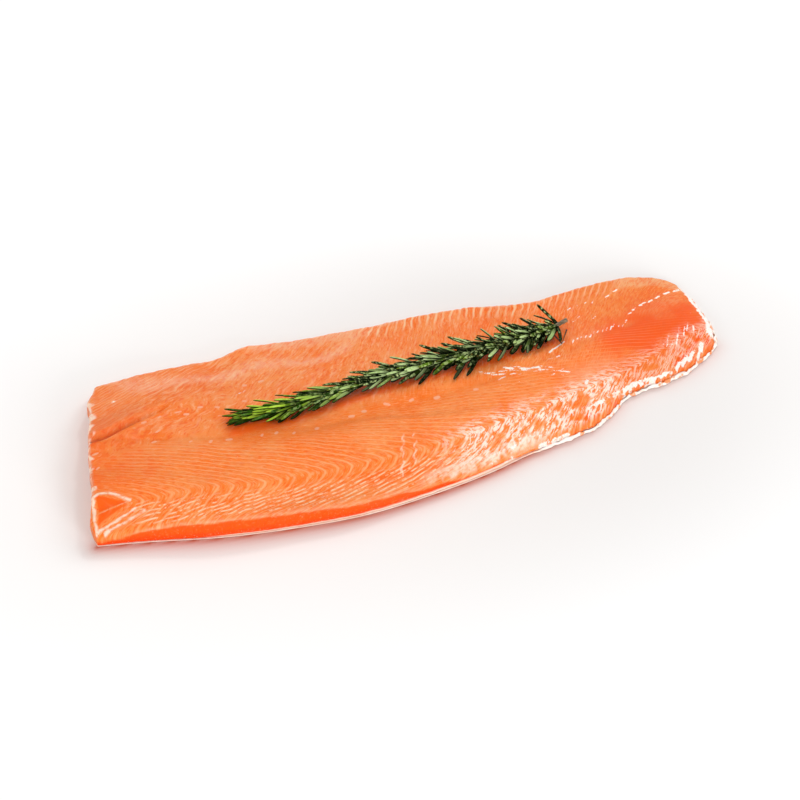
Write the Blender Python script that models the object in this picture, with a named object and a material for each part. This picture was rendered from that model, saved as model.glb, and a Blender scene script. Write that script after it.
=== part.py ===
"""A raw side of salmon, skin down, with a sprig of rosemary lying along it.

The head end is at -X, the tail end at +X, the thick back edge at -Y and the thin belly edge at +Y.
The origin is under the middle of the side, on the surface that it lies on. All sizes are in metres.
"""
import math
import random

import bmesh
import bpy
import numpy as np
from mathutils import Vector

# Outline of the side, seen from above: (x, y) along the two long edges.
BACK_SIDE_EDGE = [(-0.234, -0.0620), (-0.200, -0.0680), (-0.146, -0.0790), (-0.100, -0.0843),
                  (-0.058, -0.0862), (-0.008, -0.0812), (0.037, -0.0727), (0.062, -0.0658),
                  (0.084, -0.0622), (0.125, -0.0500), (0.143, -0.0362), (0.179, -0.0278),
                  (0.196, -0.0225), (0.2135, -0.0122), (0.2330, 0.0020)]
BELLY_EDGE = [(-0.234, 0.0722), (-0.206, 0.0722), (-0.193, 0.0737), (-0.139, 0.0772), (-0.114, 0.0792),
              (-0.105, 0.0832), (-0.096, 0.0860), (-0.083, 0.0858), (-0.060, 0.0838), (0.037, 0.0820),
              (0.071, 0.0800), (0.091, 0.0755), (0.111, 0.0732), (0.135, 0.0765), (0.163, 0.0785),
              (0.191, 0.0785), (0.208, 0.0735), (0.233, 0.0530)]
# The two cut ends: (share of the width from the back edge, x).
HEAD_END = [(0.00, -0.2280), (0.04, -0.2294), (0.11, -0.2284), (0.20, -0.2250), (0.35, -0.2226),
            (0.56, -0.2190), (0.69, -0.2156), (0.80, -0.2130), (0.86, -0.2134), (0.93, -0.2088),
            (1.00, -0.2050)]
TAIL_END = [(0.00, 0.2258), (0.12, 0.2284), (0.33, 0.2298), (0.52, 0.2288), (0.68, 0.2286),
            (0.84, 0.2262), (1.00, 0.2236)]

# Heights above the table along the side: (x, height).
LOIN_TOP = [(-0.230, 0.0215), (-0.190, 0.0240), (-0.140, 0.0255), (-0.080, 0.0255), (-0.020, 0.0245),
            (0.040, 0.0220), (0.100, 0.0185), (0.150, 0.0155), (0.190, 0.0125), (0.229, 0.0090)]
BACK_WALL_TOP = [(-0.230, 0.0100), (-0.200, 0.0125), (-0.150, 0.0160), (-0.100, 0.0145), (-0.050, 0.0110),
                 (0.000, 0.0085), (0.060, 0.0070), (0.229, 0.0055)]
BELLY_TOP = [(-0.230, 0.0115), (-0.110, 0.0095), (-0.095, 0.0080), (0.040, 0.0078), (0.180, 0.0070),
             (0.229, 0.0055)]
LOIN_PLACE = 0.37            # share of the width at which the loin is thickest
BACK_WALL_WIDTH = 0.030      # share of the width that the rounded back wall takes
BELLY_RIM_WIDTH = 0.030
HEAD_RIM_LENGTH = 0.005      # share of the length
TAIL_RIM_LENGTH = 0.016

# The cleft at the head end, where the belly flap overlaps the loin.
CLEFT_LINE = [(-0.235, 0.0110), (-0.218, 0.0130), (-0.207, 0.0135), (-0.196, 0.0175), (-0.181, 0.0235),
              (-0.150, 0.0340)]
CLEFT_END_X = -0.158
CLEFT_FADE = 0.040
CLEFT_DEPTH = 0.0045
CLEFT_HALF_WIDTH = 0.0026
FLAP_LIFT = 0.0022
FLAP_LIFT_REACH = 0.030
# The small pocket at the corner of the head end: a fold from its open end to its closed end.
POCKET_OPEN_END = (-0.2285, -0.0510)
POCKET_CLOSED_END = (-0.2030, -0.0478)
POCKET_DEPTH = 0.0026
POCKET_HALF_WIDTH = 0.0027
POCKET_LIP = 0.0016
# The shallow groove along the pin bones, and long low waves of the cut flesh.
PIN_BONE_LINE = [(-0.225, 0.0000), (-0.170, -0.0030), (-0.120, -0.0190), (0.000, -0.0160), (0.080, -0.0020),
                 (0.150, 0.0210), (0.229, 0.0380)]
PIN_BONE_DEPTH = 0.0006
PIN_BONE_HALF_WIDTH = 0.0045
WAVE_HEIGHT = 0.00045

# Skin under the flesh, and how far it reaches beyond the flesh on each side.
SKIN_THICKNESS = 0.0012
SKIN_GAP = 0.0003
SKIN_PROUD_BACK = [(-0.231, 0.0004), (-0.060, 0.0008), (0.040, 0.0014), (0.100, 0.0026), (0.229, 0.0024)]
SKIN_PROUD_TAIL = 0.0030
SKIN_PROUD_BELLY = 0.0005
SKIN_PROUD_HEAD = 0.0003
RAGGED_EDGE = 0.0009         # how far the torn edges wander, at most
TORN_FROM_X = 0.045
TORN_FULLY_AFTER = 0.050

# Grid of the flesh's top.
STEPS_ALONG = 66
STEPS_ACROSS = 25
RIM_STEPS = (0.0, 0.10, 0.32, 0.62, 1.0)
END_RIM_STEPS = (0.0, 0.25, 1.0)
WALL_BULGE = 0.0007
WALL_BULGE_HEIGHT = 0.45

# Rosemary: the stem's line seen from above, from the tip to the cut end.
STEM_LINE = [(-0.1080, -0.0034), (-0.0960, -0.0034), (-0.0847, -0.0028), (-0.0666, 0.0004), (-0.0488, 0.0025),
             (-0.0301, 0.0070), (-0.0116, 0.0100), (0.0065, 0.0114), (0.0250, 0.0138), (0.0438, 0.0162),
             (0.0624, 0.0178), (0.0821, 0.0220), (0.0986, 0.0265), (0.1106, 0.0292), (0.1245, 0.0345)]
STEM_RADIUS_TIP = 0.0008
STEM_RADIUS_CUT = 0.0016
STEM_LIFT = [(0.0, 0.0034), (0.25, 0.0052), (1.0, 0.0052)]    # the axis above the flesh, on its needles
STEM_SIDES = 6
STEM_STEPS = 24
# Needles: sizes and angles for a share of the stem's length, from the tip to the cut end.
NEEDLE_COUNT = 146
NEEDLE_END = 0.965
NEEDLE_TURN = 2.4            # radians from one needle to the next, round the stem
NEEDLE_LENGTH = [(0.00, 0.0215), (0.10, 0.0240), (0.30, 0.0235), (0.50, 0.0225), (0.75, 0.0235), (1.00, 0.0210)]
NEEDLE_WIDTH = [(0.00, 0.0020), (0.30, 0.0025), (0.60, 0.0028), (1.00, 0.0028)]
NEEDLE_SPREAD = [(0.00, 12.0), (0.10, 19.0), (0.20, 27.0), (0.33, 22.0), (0.47, 27.0), (0.58, 32.0),
                 (0.65, 36.0), (0.72, 43.0), (0.82, 47.0), (0.95, 43.0), (1.00, 38.0)]
NEEDLE_OPENING = 1.35        # how much wider a needle leaves the stem than it ends
NEEDLE_CURVE = 0.35          # how far it then turns back to the stem's direction
NEEDLE_RISE = 0.9            # share of the spread that is left for needles above the stem
NEEDLE_SINK = 0.3            # and for those that the flesh pushes up
NEEDLE_THICKNESS = 0.0011
NEEDLE_STATIONS = (0.0, 0.33, 0.74)
NEEDLE_CLEARANCE = 0.0004
ROSEMARY_SEED = 11
# Long needles that stand off the bunch: share of the stem's length, then how far they reach in x, y and z.
LONG_NEEDLES = [(0.000, -0.0225, 0.0045, 0.0000), (0.020, -0.0230, 0.0095, 0.0010),
                (0.010, -0.0225, -0.0035, -0.0015), (0.562, -0.0185, -0.0175, -0.0040),
                (0.653, -0.0179, -0.0218, -0.0040), (0.690, -0.0175, -0.0205, -0.0035),
                (0.610, -0.0210, 0.0135, 0.0045), (0.690, -0.0205, 0.0145, 0.0045),
                (0.855, -0.0205, 0.0125, 0.0050), (0.965, -0.0118, 0.0138, 0.0100)]
# A bent dry twig near the cut end: (x, y, height above the flesh).
BENT_TWIG = [(0.1095, 0.0290, 0.0050), (0.1142, 0.0148, 0.0012), (0.1214, 0.0252, 0.0040)]
TWIG_RADIUS = 0.0006

FLESH_COLOUR = (0.95, 0.27, 0.09, 1.0)
SKIN_COLOUR = (0.55, 0.56, 0.56, 1.0)
ROSEMARY_COLOUR = (0.07, 0.14, 0.035, 1.0)


def smooth_line(points, x):
    """Read a smooth curve through the points at x, which may be an array."""
    known_x, known_y = np.array(points, dtype=float).T
    slopes = np.gradient(known_y, known_x)
    x = np.clip(x, known_x[0], known_x[-1])
    place = np.clip(np.searchsorted(known_x, x) - 1, 0, len(known_x) - 2)
    step = known_x[place + 1] - known_x[place]
    t = (x - known_x[place]) / step
    start = (1 + 2 * t) * (1 - t) ** 2 * known_y[place] + t * (1 - t) ** 2 * step * slopes[place]
    end = t * t * (3 - 2 * t) * known_y[place + 1] - t * t * (1 - t) * step * slopes[place + 1]
    return start + end


def ragged(x):
    """Uneven wander of a torn edge, between -1 and 1."""
    return (np.sin(x * 310.0 + 1.0) + 0.6 * np.sin(x * 757.0 + 2.2) + 0.4 * np.sin(x * 1319.0)) / 2.0


def back_side_y(x):
    torn = np.clip((x - TORN_FROM_X) / TORN_FULLY_AFTER, 0.0, 1.0)
    return smooth_line(BACK_SIDE_EDGE, x) + RAGGED_EDGE * torn * ragged(x)


def belly_y(x):
    return smooth_line(BELLY_EDGE, x) + 0.5 * RAGGED_EDGE * ragged(x + 0.3)


def plan_point(along, across, inset_head=0.0, inset_tail=0.0, inset_back=0.0, inset_belly=0.0):
    """Seen from above, the point at a share of the length and of the width."""
    head = smooth_line(HEAD_END, across) + inset_head + 0.4 * RAGGED_EDGE * ragged(across * 0.15)
    tail = smooth_line(TAIL_END, across) - inset_tail + 0.6 * RAGGED_EDGE * ragged(across * 0.09 + 0.5)
    x = head + (tail - head) * along
    low = back_side_y(x) + inset_back
    high = belly_y(x) - inset_belly
    return x, low + (high - low) * across


def flesh_height(x, y):
    """Height of the flesh's top above the table, away from the rounded rims."""
    low = back_side_y(x)
    across = np.clip((y - low) / (belly_y(x) - low), 0.0, 1.0)
    loin = smooth_line(LOIN_TOP, x)
    wall = smooth_line(BACK_WALL_TOP, x)
    belly = smooth_line(BELLY_TOP, x)
    rise = 1.0 - (1.0 - np.clip(across / LOIN_PLACE, 0.0, 1.0)) ** 2.3
    t = np.clip((across - LOIN_PLACE) / (1.0 - LOIN_PLACE), 0.0, 1.0)
    fall = 0.65 * (1.0 + np.cos(math.pi * t)) / 2.0 + 0.35 * (1.0 - t * t)
    height = np.where(across < LOIN_PLACE, wall + (loin - wall) * rise, belly + (loin - belly) * fall)
    return height + cleft(x, y) + pocket(x, y) + pin_bone_groove(x, y) + waves(x, y)


def cleft(x, y):
    """The belly flap, raised over the loin at the head end, and the cleft between them."""
    strength = np.clip((CLEFT_END_X - x) / CLEFT_FADE, 0.0, 1.0) ** 0.8
    side = (y - smooth_line(CLEFT_LINE, x)) / CLEFT_HALF_WIDTH
    lift = FLAP_LIFT * (side > 0) * np.exp(-np.maximum(side, 0.0) * CLEFT_HALF_WIDTH / FLAP_LIFT_REACH)
    return strength * (lift - CLEFT_DEPTH * np.exp(-side * side))


def pocket(x, y):
    """A small open fold at the corner, with a raised lip on its inner side."""
    ax, ay = POCKET_OPEN_END
    bx, by = POCKET_CLOSED_END
    length = math.dist(POCKET_OPEN_END, POCKET_CLOSED_END)
    ux, uy = (bx - ax) / length, (by - ay) / length
    along = (x - ax) * ux + (y - ay) * uy
    side = (y - ay) * ux - (x - ax) * uy
    fade = np.clip((length - along) / length, 0.0, 1.0)
    width = POCKET_HALF_WIDTH * (0.5 + fade)
    fold = -POCKET_DEPTH * np.exp(-((side - width) / width) ** 2)
    lip = POCKET_LIP * np.exp(-((side - 3.2 * width) / width) ** 2)
    return (fold + lip) * fade ** 0.7


def pin_bone_groove(x, y):
    side = (y - smooth_line(PIN_BONE_LINE, x)) / PIN_BONE_HALF_WIDTH
    return -PIN_BONE_DEPTH * np.exp(-side * side)


def waves(x, y):
    return WAVE_HEIGHT * (np.sin(x * 95.0 + y * 60.0) + 0.7 * np.sin(x * 51.0 - y * 120.0 + 1.3))


def rim_share(distance, width, floor, power):
    """Share of the height that is left at a distance inside a rounded rim."""
    t = 1.0 - np.clip(distance / width, 0.0, 1.0)
    return floor + (1.0 - floor) * (1.0 - t ** power) ** (1.0 / power)


def flesh_insets():
    return {"inset_head": SKIN_PROUD_HEAD, "inset_tail": SKIN_PROUD_TAIL, "inset_belly": SKIN_PROUD_BELLY}


def flesh_point(along, across):
    """A point of the flesh's top, with its rounded rims, for shares of the length and the width."""
    x, _ = plan_point(along, across)
    proud = smooth_line(SKIN_PROUD_BACK, x)
    x, y = plan_point(along, across, inset_back=proud, **flesh_insets())
    base = SKIN_THICKNESS + SKIN_GAP
    share = rim_share(across, BACK_WALL_WIDTH, 0.22, 2.6)
    share = share * rim_share(1.0 - across, BELLY_RIM_WIDTH, 0.45, 2.2)
    share = share * rim_share(along, HEAD_RIM_LENGTH, 0.88, 2.0)
    share = share * rim_share(1.0 - along, TAIL_RIM_LENGTH, 0.40, 2.0)
    return x, y, base + (flesh_height(x, y) - base) * share


def shares(count, rim_low, rim_high, steps):
    """Rising numbers from 0 to 1, close together in the rims and even between them."""
    low = [rim_low * step for step in steps]
    high = [1.0 - rim_high * step for step in reversed(steps)]
    middle = np.linspace(low[-1], high[0], count + 1)[1:-1]
    return np.array(low + list(middle) + high)


def border(rows, columns):
    """Places (row, column) round the edge of a grid, clockwise seen from above."""
    loop = [(0, j) for j in range(columns)]
    loop += [(i, columns - 1) for i in range(1, rows)]
    loop += [(rows - 1, j) for j in range(columns - 2, -1, -1)]
    loop += [(i, 0) for i in range(rows - 2, 0, -1)]
    return loop


def outward(points):
    """Unit vectors pointing out of a clockwise loop of points, seen from above."""
    count = len(points)
    directions = []
    for k in range(count):
        before, after = points[k - 1], points[(k + 1) % count]
        run = Vector((after[0] - before[0], after[1] - before[1])).normalized()
        directions.append((-run.y, run.x))
    return directions


def material(name, colour, roughness):
    made = bpy.data.materials.new(name)
    made.use_nodes = True
    shader = made.node_tree.nodes["Principled BSDF"]
    shader.inputs["Base Color"].default_value = colour
    shader.inputs["Roughness"].default_value = roughness
    shader.inputs["Metallic"].default_value = 0.0
    made.diffuse_color = colour
    return made


def add_object(name, mesh_data, finish):
    mesh = bpy.data.meshes.new(name)
    mesh_data.normal_update()
    mesh_data.to_mesh(mesh)
    mesh_data.free()
    mesh.materials.append(finish)
    mesh.shade_smooth()
    mesh.set_sharp_from_angle(angle=math.radians(40))
    thing = bpy.data.objects.new(name, mesh)
    bpy.context.collection.objects.link(thing)
    return thing


def stack_rings(shape, rings):
    """Join rings of as many vertices each, from the top one down, with faces that point out."""
    count = len(rings[0])
    for upper, lower in zip(rings, rings[1:]):
        for k in range(count):
            after = (k + 1) % count
            shape.faces.new((upper[k], upper[after], lower[after], lower[k]))


def close_ring(shape, ring):
    """Close a flat ring with triangles."""
    cap = shape.faces.new(ring)
    bmesh.ops.triangulate(shape, faces=[cap], ngon_method="BEAUTY")


def make_flesh(finish):
    along = shares(STEPS_ALONG, HEAD_RIM_LENGTH, TAIL_RIM_LENGTH, END_RIM_STEPS)
    across = shares(STEPS_ACROSS, BACK_WALL_WIDTH, BELLY_RIM_WIDTH, RIM_STEPS)
    x, y, z = flesh_point(along[:, None], across[None, :])
    rows, columns = x.shape
    shape = bmesh.new()
    grid = [[shape.verts.new((x[i, j], y[i, j], z[i, j])) for j in range(columns)] for i in range(rows)]
    for i in range(rows - 1):
        for j in range(columns - 1):
            shape.faces.new((grid[i][j], grid[i + 1][j], grid[i + 1][j + 1], grid[i][j + 1]))
    top_ring = [grid[i][j] for i, j in border(rows, columns)]
    base = SKIN_THICKNESS + SKIN_GAP
    bulge_ring = []
    base_ring = []
    for vertex, (out_x, out_y) in zip(top_ring, outward([v.co for v in top_ring])):
        bulge_z = base + (vertex.co.z - base) * WALL_BULGE_HEIGHT
        bulge_ring.append(shape.verts.new((vertex.co.x + WALL_BULGE * out_x,
                                           vertex.co.y + WALL_BULGE * out_y, bulge_z)))
        base_ring.append(shape.verts.new((vertex.co.x, vertex.co.y, base)))
    stack_rings(shape, [top_ring, bulge_ring, base_ring])
    close_ring(shape, base_ring)
    return add_object("flesh", shape, finish)


def make_skin(finish):
    along = np.linspace(0.0, 1.0, STEPS_ALONG + 1)
    across = np.linspace(0.0, 1.0, STEPS_ACROSS // 2 + 1)
    x, y = plan_point(along[:, None], across[None, :])
    outline = [(x[i, j], y[i, j]) for i, j in border(*x.shape)]
    shape = bmesh.new()
    top_ring = [shape.verts.new((px, py, SKIN_THICKNESS)) for px, py in outline]
    base_ring = [shape.verts.new((px, py, 0.0)) for px, py in outline]
    stack_rings(shape, [top_ring, base_ring])
    close_ring(shape, base_ring)
    close_ring(shape, list(reversed(top_ring)))
    return add_object("skin", shape, finish)


def stem_point(share):
    """The stem's axis, for a share of its length from the tip to the cut end."""
    line = np.array(STEM_LINE)
    known = np.linspace(0.0, 1.0, len(line))
    x = float(smooth_line(np.column_stack((known, line[:, 0])), share))
    y = float(smooth_line(np.column_stack((known, line[:, 1])), share))
    return Vector((x, y, float(flesh_height(x, y) + smooth_line(STEM_LIFT, share))))


def stem_frame(share):
    """The stem's axis point, and unit vectors towards the tip, to the side and up."""
    centre = stem_point(share)
    tip_way = (stem_point(max(share - 0.01, 0.0)) - stem_point(min(share + 0.01, 1.0))).normalized()
    side = Vector((0.0, 0.0, 1.0)).cross(tip_way).normalized()
    return centre, tip_way, side, tip_way.cross(side)


def keep_above_flesh(point, half_height):
    lowest = float(flesh_height(point.x, point.y)) + half_height + NEEDLE_CLEARANCE
    return Vector((point.x, point.y, max(point.z, lowest)))


def tube_body(shape, rings, start, end):
    """A closed body along rings of points, with a pointed start and end."""
    made = [[shape.verts.new(point) for point in ring] for ring in rings]
    first, last = shape.verts.new(start), shape.verts.new(end)
    stack_rings(shape, made)
    count = len(made[0])
    for k in range(count):
        after = (k + 1) % count
        shape.faces.new((first, made[0][after], made[0][k]))
        shape.faces.new((made[-1][k], made[-1][after], last))


def make_stem(finish):
    rings = []
    for step in range(STEM_STEPS + 1):
        share = step / STEM_STEPS
        centre, _, side, up = stem_frame(share)
        radius = STEM_RADIUS_TIP + (STEM_RADIUS_CUT - STEM_RADIUS_TIP) * share
        angles = [2.0 * math.pi * k / STEM_SIDES for k in range(STEM_SIDES)]
        rings.append([centre + radius * (math.cos(a) * side + math.sin(a) * up) for a in angles])
    centre, tip_way, _, _ = stem_frame(0.0)
    cut_centre, cut_way, _, _ = stem_frame(1.0)
    shape = bmesh.new()
    tube_body(shape, rings, centre + 0.0012 * tip_way, cut_centre - 0.0003 * cut_way)
    bmesh.ops.recalc_face_normals(shape, faces=shape.faces)
    return add_object("rosemary_sprig", shape, finish)


def needle_draws():
    """Every needle: its place on the stem, its turn round it, and how it grows."""
    draw = random.Random(ROSEMARY_SEED)
    for k in range(NEEDLE_COUNT):
        place = NEEDLE_END * (k + draw.uniform(-0.45, 0.45)) / (NEEDLE_COUNT - 1)
        place = min(max(place, 0.0), NEEDLE_END)
        spread = math.radians(float(smooth_line(NEEDLE_SPREAD, place)) * draw.uniform(0.7, 1.15))
        yield {"place": place, "turn": k * NEEDLE_TURN + draw.uniform(-0.35, 0.35), "spread": spread,
               "length": float(smooth_line(NEEDLE_LENGTH, place)) * draw.uniform(0.84, 1.12),
               "half_width": float(smooth_line(NEEDLE_WIDTH, place)) / 2.0 * draw.uniform(0.85, 1.1),
               "bend": draw.uniform(-0.07, 0.07) - NEEDLE_CURVE * math.sin(spread),
               "roll": draw.uniform(-0.6, 0.6)}


def make_needle(name, needle, finish):
    """One flat, pointed needle that leaves the stem and curves along it."""
    centre, tip_way, side, up = stem_frame(needle["place"])
    rise = math.sin(needle["turn"])
    away = math.cos(needle["turn"]) * side + rise * (NEEDLE_RISE if rise > 0.0 else NEEDLE_SINK) * up
    opening = NEEDLE_OPENING * needle["spread"]
    heading = math.cos(opening) * tip_way + math.sin(opening) * away
    face = up + 0.7 * away + needle["roll"] * side
    half_width = needle["half_width"]

    def middle(t):
        point = centre + needle["length"] * t * (heading + needle["bend"] * t * away)
        return keep_above_flesh(point, half_width * 0.6 + NEEDLE_THICKNESS / 2.0)

    return make_blade(name, middle, half_width, face, finish)


def make_blade(name, middle, half_width, face, finish):
    """A narrow pointed blade along a middle line, with its flat side towards a direction."""
    rings = []
    for t in NEEDLE_STATIONS:
        point = middle(t)
        ahead = (middle(t + 0.1) - point).normalized()
        blade_side = ahead.cross(face).normalized()
        blade_up = blade_side.cross(ahead)
        width = half_width * (0.55 if t == 0.0 else 1.0 - 0.25 * t)
        height = NEEDLE_THICKNESS / 2.0
        rings.append([point + width * blade_side, point + height * blade_up,
                      point - width * blade_side, point - height * blade_up])
    start = middle(0.0) - 0.0004 * (middle(0.1) - middle(0.0)).normalized()
    shape = bmesh.new()
    tube_body(shape, rings, start, middle(1.0))
    bmesh.ops.recalc_face_normals(shape, faces=shape.faces)
    return add_object(name, shape, finish)


def make_long_needle(name, share, reach, finish):
    base = stem_point(share)
    half_width = float(smooth_line(NEEDLE_WIDTH, share)) / 2.0

    def middle(t):
        return keep_above_flesh(base + t * Vector(reach), half_width * 0.6 + NEEDLE_THICKNESS / 2.0)

    return make_blade(name, middle, half_width, Vector((0.0, 0.0, 1.0)), finish)


def make_bent_twig(finish):
    line = [Vector((x, y, float(flesh_height(x, y)) + lift)) for x, y, lift in BENT_TWIG]
    rings = []
    for k, point in enumerate(line):
        ahead = (line[min(k + 1, len(line) - 1)] - line[max(k - 1, 0)]).normalized()
        side = ahead.cross(Vector((0.0, 0.0, 1.0))).normalized()
        up = side.cross(ahead)
        rings.append([point + TWIG_RADIUS * direction for direction in (side, up, -side, -up)])
    shape = bmesh.new()
    last_run = (line[-1] - line[-2]).normalized()
    first_run = (line[1] - line[0]).normalized()
    tube_body(shape, rings, line[0] - 0.0004 * first_run, line[-1] + 0.0004 * last_run)
    bmesh.ops.recalc_face_normals(shape, faces=shape.faces)
    return add_object("bent_twig", shape, finish)


def join_by_union(body, pieces):
    """Fuse the pieces with the body by one Boolean union, then remove them."""
    group = bpy.data.collections.new("needles")
    bpy.context.scene.collection.children.link(group)
    for piece in pieces:
        for owner in list(piece.users_collection):
            owner.objects.unlink(piece)
        group.objects.link(piece)
    union = body.modifiers.new("join needles", "BOOLEAN")
    union.operation = "UNION"
    union.operand_type = "COLLECTION"
    union.collection = group
    union.solver = "EXACT"
    bpy.context.view_layer.update()
    evaluated = body.evaluated_get(bpy.context.evaluated_depsgraph_get())
    fused = bpy.data.meshes.new_from_object(evaluated)
    body.modifiers.clear()
    body.data = fused
    keep_largest_shell(fused)
    for piece in list(group.objects):
        bpy.data.objects.remove(piece, do_unlink=True)
    bpy.data.collections.remove(group)


def keep_largest_shell(mesh):
    """Drop the small shells left by a union, which are sealed hollows and loose scraps."""
    shape = bmesh.new()
    shape.from_mesh(mesh)
    waiting = set(shape.verts)
    shells = []
    while waiting:
        shell = set()
        edge_of_shell = [waiting.pop()]
        while edge_of_shell:
            vertex = edge_of_shell.pop()
            shell.add(vertex)
            near = {edge.other_vert(vertex) for edge in vertex.link_edges} & waiting
            waiting -= near
            edge_of_shell.extend(near)
        shells.append(shell)
    largest = max(shells, key=len)
    bmesh.ops.delete(shape, geom=[v for v in shape.verts if v not in largest], context="VERTS")
    shape.to_mesh(mesh)
    shape.free()


def make_rosemary(finish):
    stem = make_stem(finish)
    pieces = [make_needle("needle_" + str(k), needle, finish) for k, needle in enumerate(needle_draws())]
    for k, (share, *reach) in enumerate(LONG_NEEDLES):
        pieces.append(make_long_needle("long_needle_" + str(k), share, reach, finish))
    pieces.append(make_bent_twig(finish))
    join_by_union(stem, pieces)
    return stem


def main():
    for thing in list(bpy.data.objects):
        bpy.data.objects.remove(thing, do_unlink=True)
    make_flesh(material("flesh", FLESH_COLOUR, 0.30))
    make_skin(material("skin", SKIN_COLOUR, 0.35))
    make_rosemary(material("rosemary", ROSEMARY_COLOUR, 0.55))


main()
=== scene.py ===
"""Looks of a raw side of salmon that lies skin down, with a sprig of rosemary along its middle.

Head end at -X, tail end at +X, thick back edge at -Y, thin belly edge at +Y, resting on z = 0. The
script works in metres; places painted on the flesh are listed in millimetres, as their names say.
"""
import math
import random

import bpy
import numpy as np
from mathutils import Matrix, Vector


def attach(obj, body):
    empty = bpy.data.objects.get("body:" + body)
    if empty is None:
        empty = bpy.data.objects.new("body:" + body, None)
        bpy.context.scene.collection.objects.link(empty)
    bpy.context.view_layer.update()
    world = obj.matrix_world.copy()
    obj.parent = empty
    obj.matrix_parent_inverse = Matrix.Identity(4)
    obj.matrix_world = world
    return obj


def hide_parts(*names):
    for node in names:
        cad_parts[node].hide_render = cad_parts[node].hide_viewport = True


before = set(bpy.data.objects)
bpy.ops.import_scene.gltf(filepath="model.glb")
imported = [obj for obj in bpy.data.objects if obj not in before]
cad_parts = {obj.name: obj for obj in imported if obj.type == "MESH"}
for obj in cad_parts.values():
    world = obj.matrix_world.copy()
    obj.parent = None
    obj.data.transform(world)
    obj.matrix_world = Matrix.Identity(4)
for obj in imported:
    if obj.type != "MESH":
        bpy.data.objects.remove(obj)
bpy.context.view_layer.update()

MM = 0.001

# Outline of the side, seen from above: (x, y) along the two long edges, and its two cut ends.
BACK_SIDE_EDGE = [(-0.234, -0.0620), (-0.200, -0.0680), (-0.146, -0.0790), (-0.100, -0.0843),
                  (-0.058, -0.0862), (-0.008, -0.0812), (0.037, -0.0727), (0.062, -0.0658),
                  (0.084, -0.0622), (0.125, -0.0500), (0.143, -0.0362), (0.179, -0.0278),
                  (0.196, -0.0225), (0.2135, -0.0122), (0.2330, 0.0020)]
BELLY_EDGE = [(-0.234, 0.0722), (-0.206, 0.0722), (-0.193, 0.0737), (-0.139, 0.0772), (-0.114, 0.0792),
              (-0.105, 0.0832), (-0.096, 0.0860), (-0.083, 0.0858), (-0.060, 0.0838), (0.037, 0.0820),
              (0.071, 0.0800), (0.091, 0.0755), (0.111, 0.0732), (0.135, 0.0765), (0.163, 0.0785),
              (0.191, 0.0785), (0.208, 0.0735), (0.233, 0.0530)]
HEAD_END = [(0.00, -0.2280), (0.04, -0.2294), (0.11, -0.2284), (0.20, -0.2250), (0.35, -0.2226),
            (0.56, -0.2190), (0.69, -0.2156), (0.80, -0.2130), (0.86, -0.2134), (0.93, -0.2088),
            (1.00, -0.2050)]
TAIL_END = [(0.00, 0.2258), (0.12, 0.2284), (0.33, 0.2298), (0.52, 0.2288), (0.68, 0.2286),
            (0.84, 0.2262), (1.00, 0.2236)]

# Heights of the flesh above the table along the side: (x, height).
LOIN_TOP = [(-0.230, 0.0215), (-0.190, 0.0240), (-0.140, 0.0255), (-0.080, 0.0255), (-0.020, 0.0245),
            (0.040, 0.0220), (0.100, 0.0185), (0.150, 0.0155), (0.190, 0.0125), (0.229, 0.0090)]
BACK_WALL_TOP = [(-0.230, 0.0100), (-0.200, 0.0125), (-0.150, 0.0160), (-0.100, 0.0145), (-0.050, 0.0110),
                 (0.000, 0.0085), (0.060, 0.0070), (0.229, 0.0055)]
BELLY_TOP = [(-0.230, 0.0115), (-0.110, 0.0095), (-0.095, 0.0080), (0.040, 0.0078), (0.180, 0.0070),
             (0.229, 0.0055)]
LOIN_PLACE = 0.37
LOIN_ROUNDNESS = 2.3
BELLY_FALL_EASED = 0.65      # share of the fall to the belly that starts and ends gently
BACK_WALL_WIDTH = 0.030
BELLY_RIM_WIDTH = 0.030
HEAD_RIM_LENGTH = 0.005
TAIL_RIM_LENGTH = 0.016
# The rounded rims: share of the height that is left at the edge, and roundness.
BACK_RIM = (0.22, 2.6)
BELLY_RIM = (0.45, 2.2)
HEAD_RIM = (0.88, 2.0)
TAIL_RIM = (0.40, 2.0)

CLEFT_LINE = [(-0.235, 0.0110), (-0.218, 0.0130), (-0.207, 0.0135), (-0.196, 0.0175), (-0.181, 0.0235),
              (-0.150, 0.0340)]
CLEFT_END_X = -0.158
CLEFT_FADE = 0.040
CLEFT_DEPTH = 0.0045
CLEFT_HALF_WIDTH = 0.0026
FLAP_LIFT = 0.0022
FLAP_LIFT_REACH = 0.030
POCKET_OPEN_END = (-0.2285, -0.0510)
POCKET_CLOSED_END = (-0.2030, -0.0478)
POCKET_DEPTH = 0.0026
POCKET_HALF_WIDTH = 0.0027
POCKET_LIP = 0.0016
PIN_BONE_LINE = [(-0.225, 0.0000), (-0.170, -0.0030), (-0.120, -0.0190), (0.000, -0.0160), (0.080, -0.0020),
                 (0.150, 0.0210), (0.229, 0.0380)]
PIN_BONE_DEPTH = 0.0006
PIN_BONE_HALF_WIDTH = 0.0045
WAVE_HEIGHT = 0.00045

# Skin under the flesh.
SKIN_THICKNESS = 0.0012
SKIN_GAP = 0.0003
SKIN_PROUD_BACK = [(-0.231, 0.0004), (-0.060, 0.0008), (0.040, 0.0014), (0.100, 0.0026), (0.229, 0.0024)]
SKIN_PROUD_TAIL = 0.0030
SKIN_PROUD_BELLY = 0.0005
SKIN_PROUD_HEAD = 0.0003
RAGGED_EDGE = 0.0009
TORN_FROM_X = 0.045
TORN_FULLY_AFTER = 0.050

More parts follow.
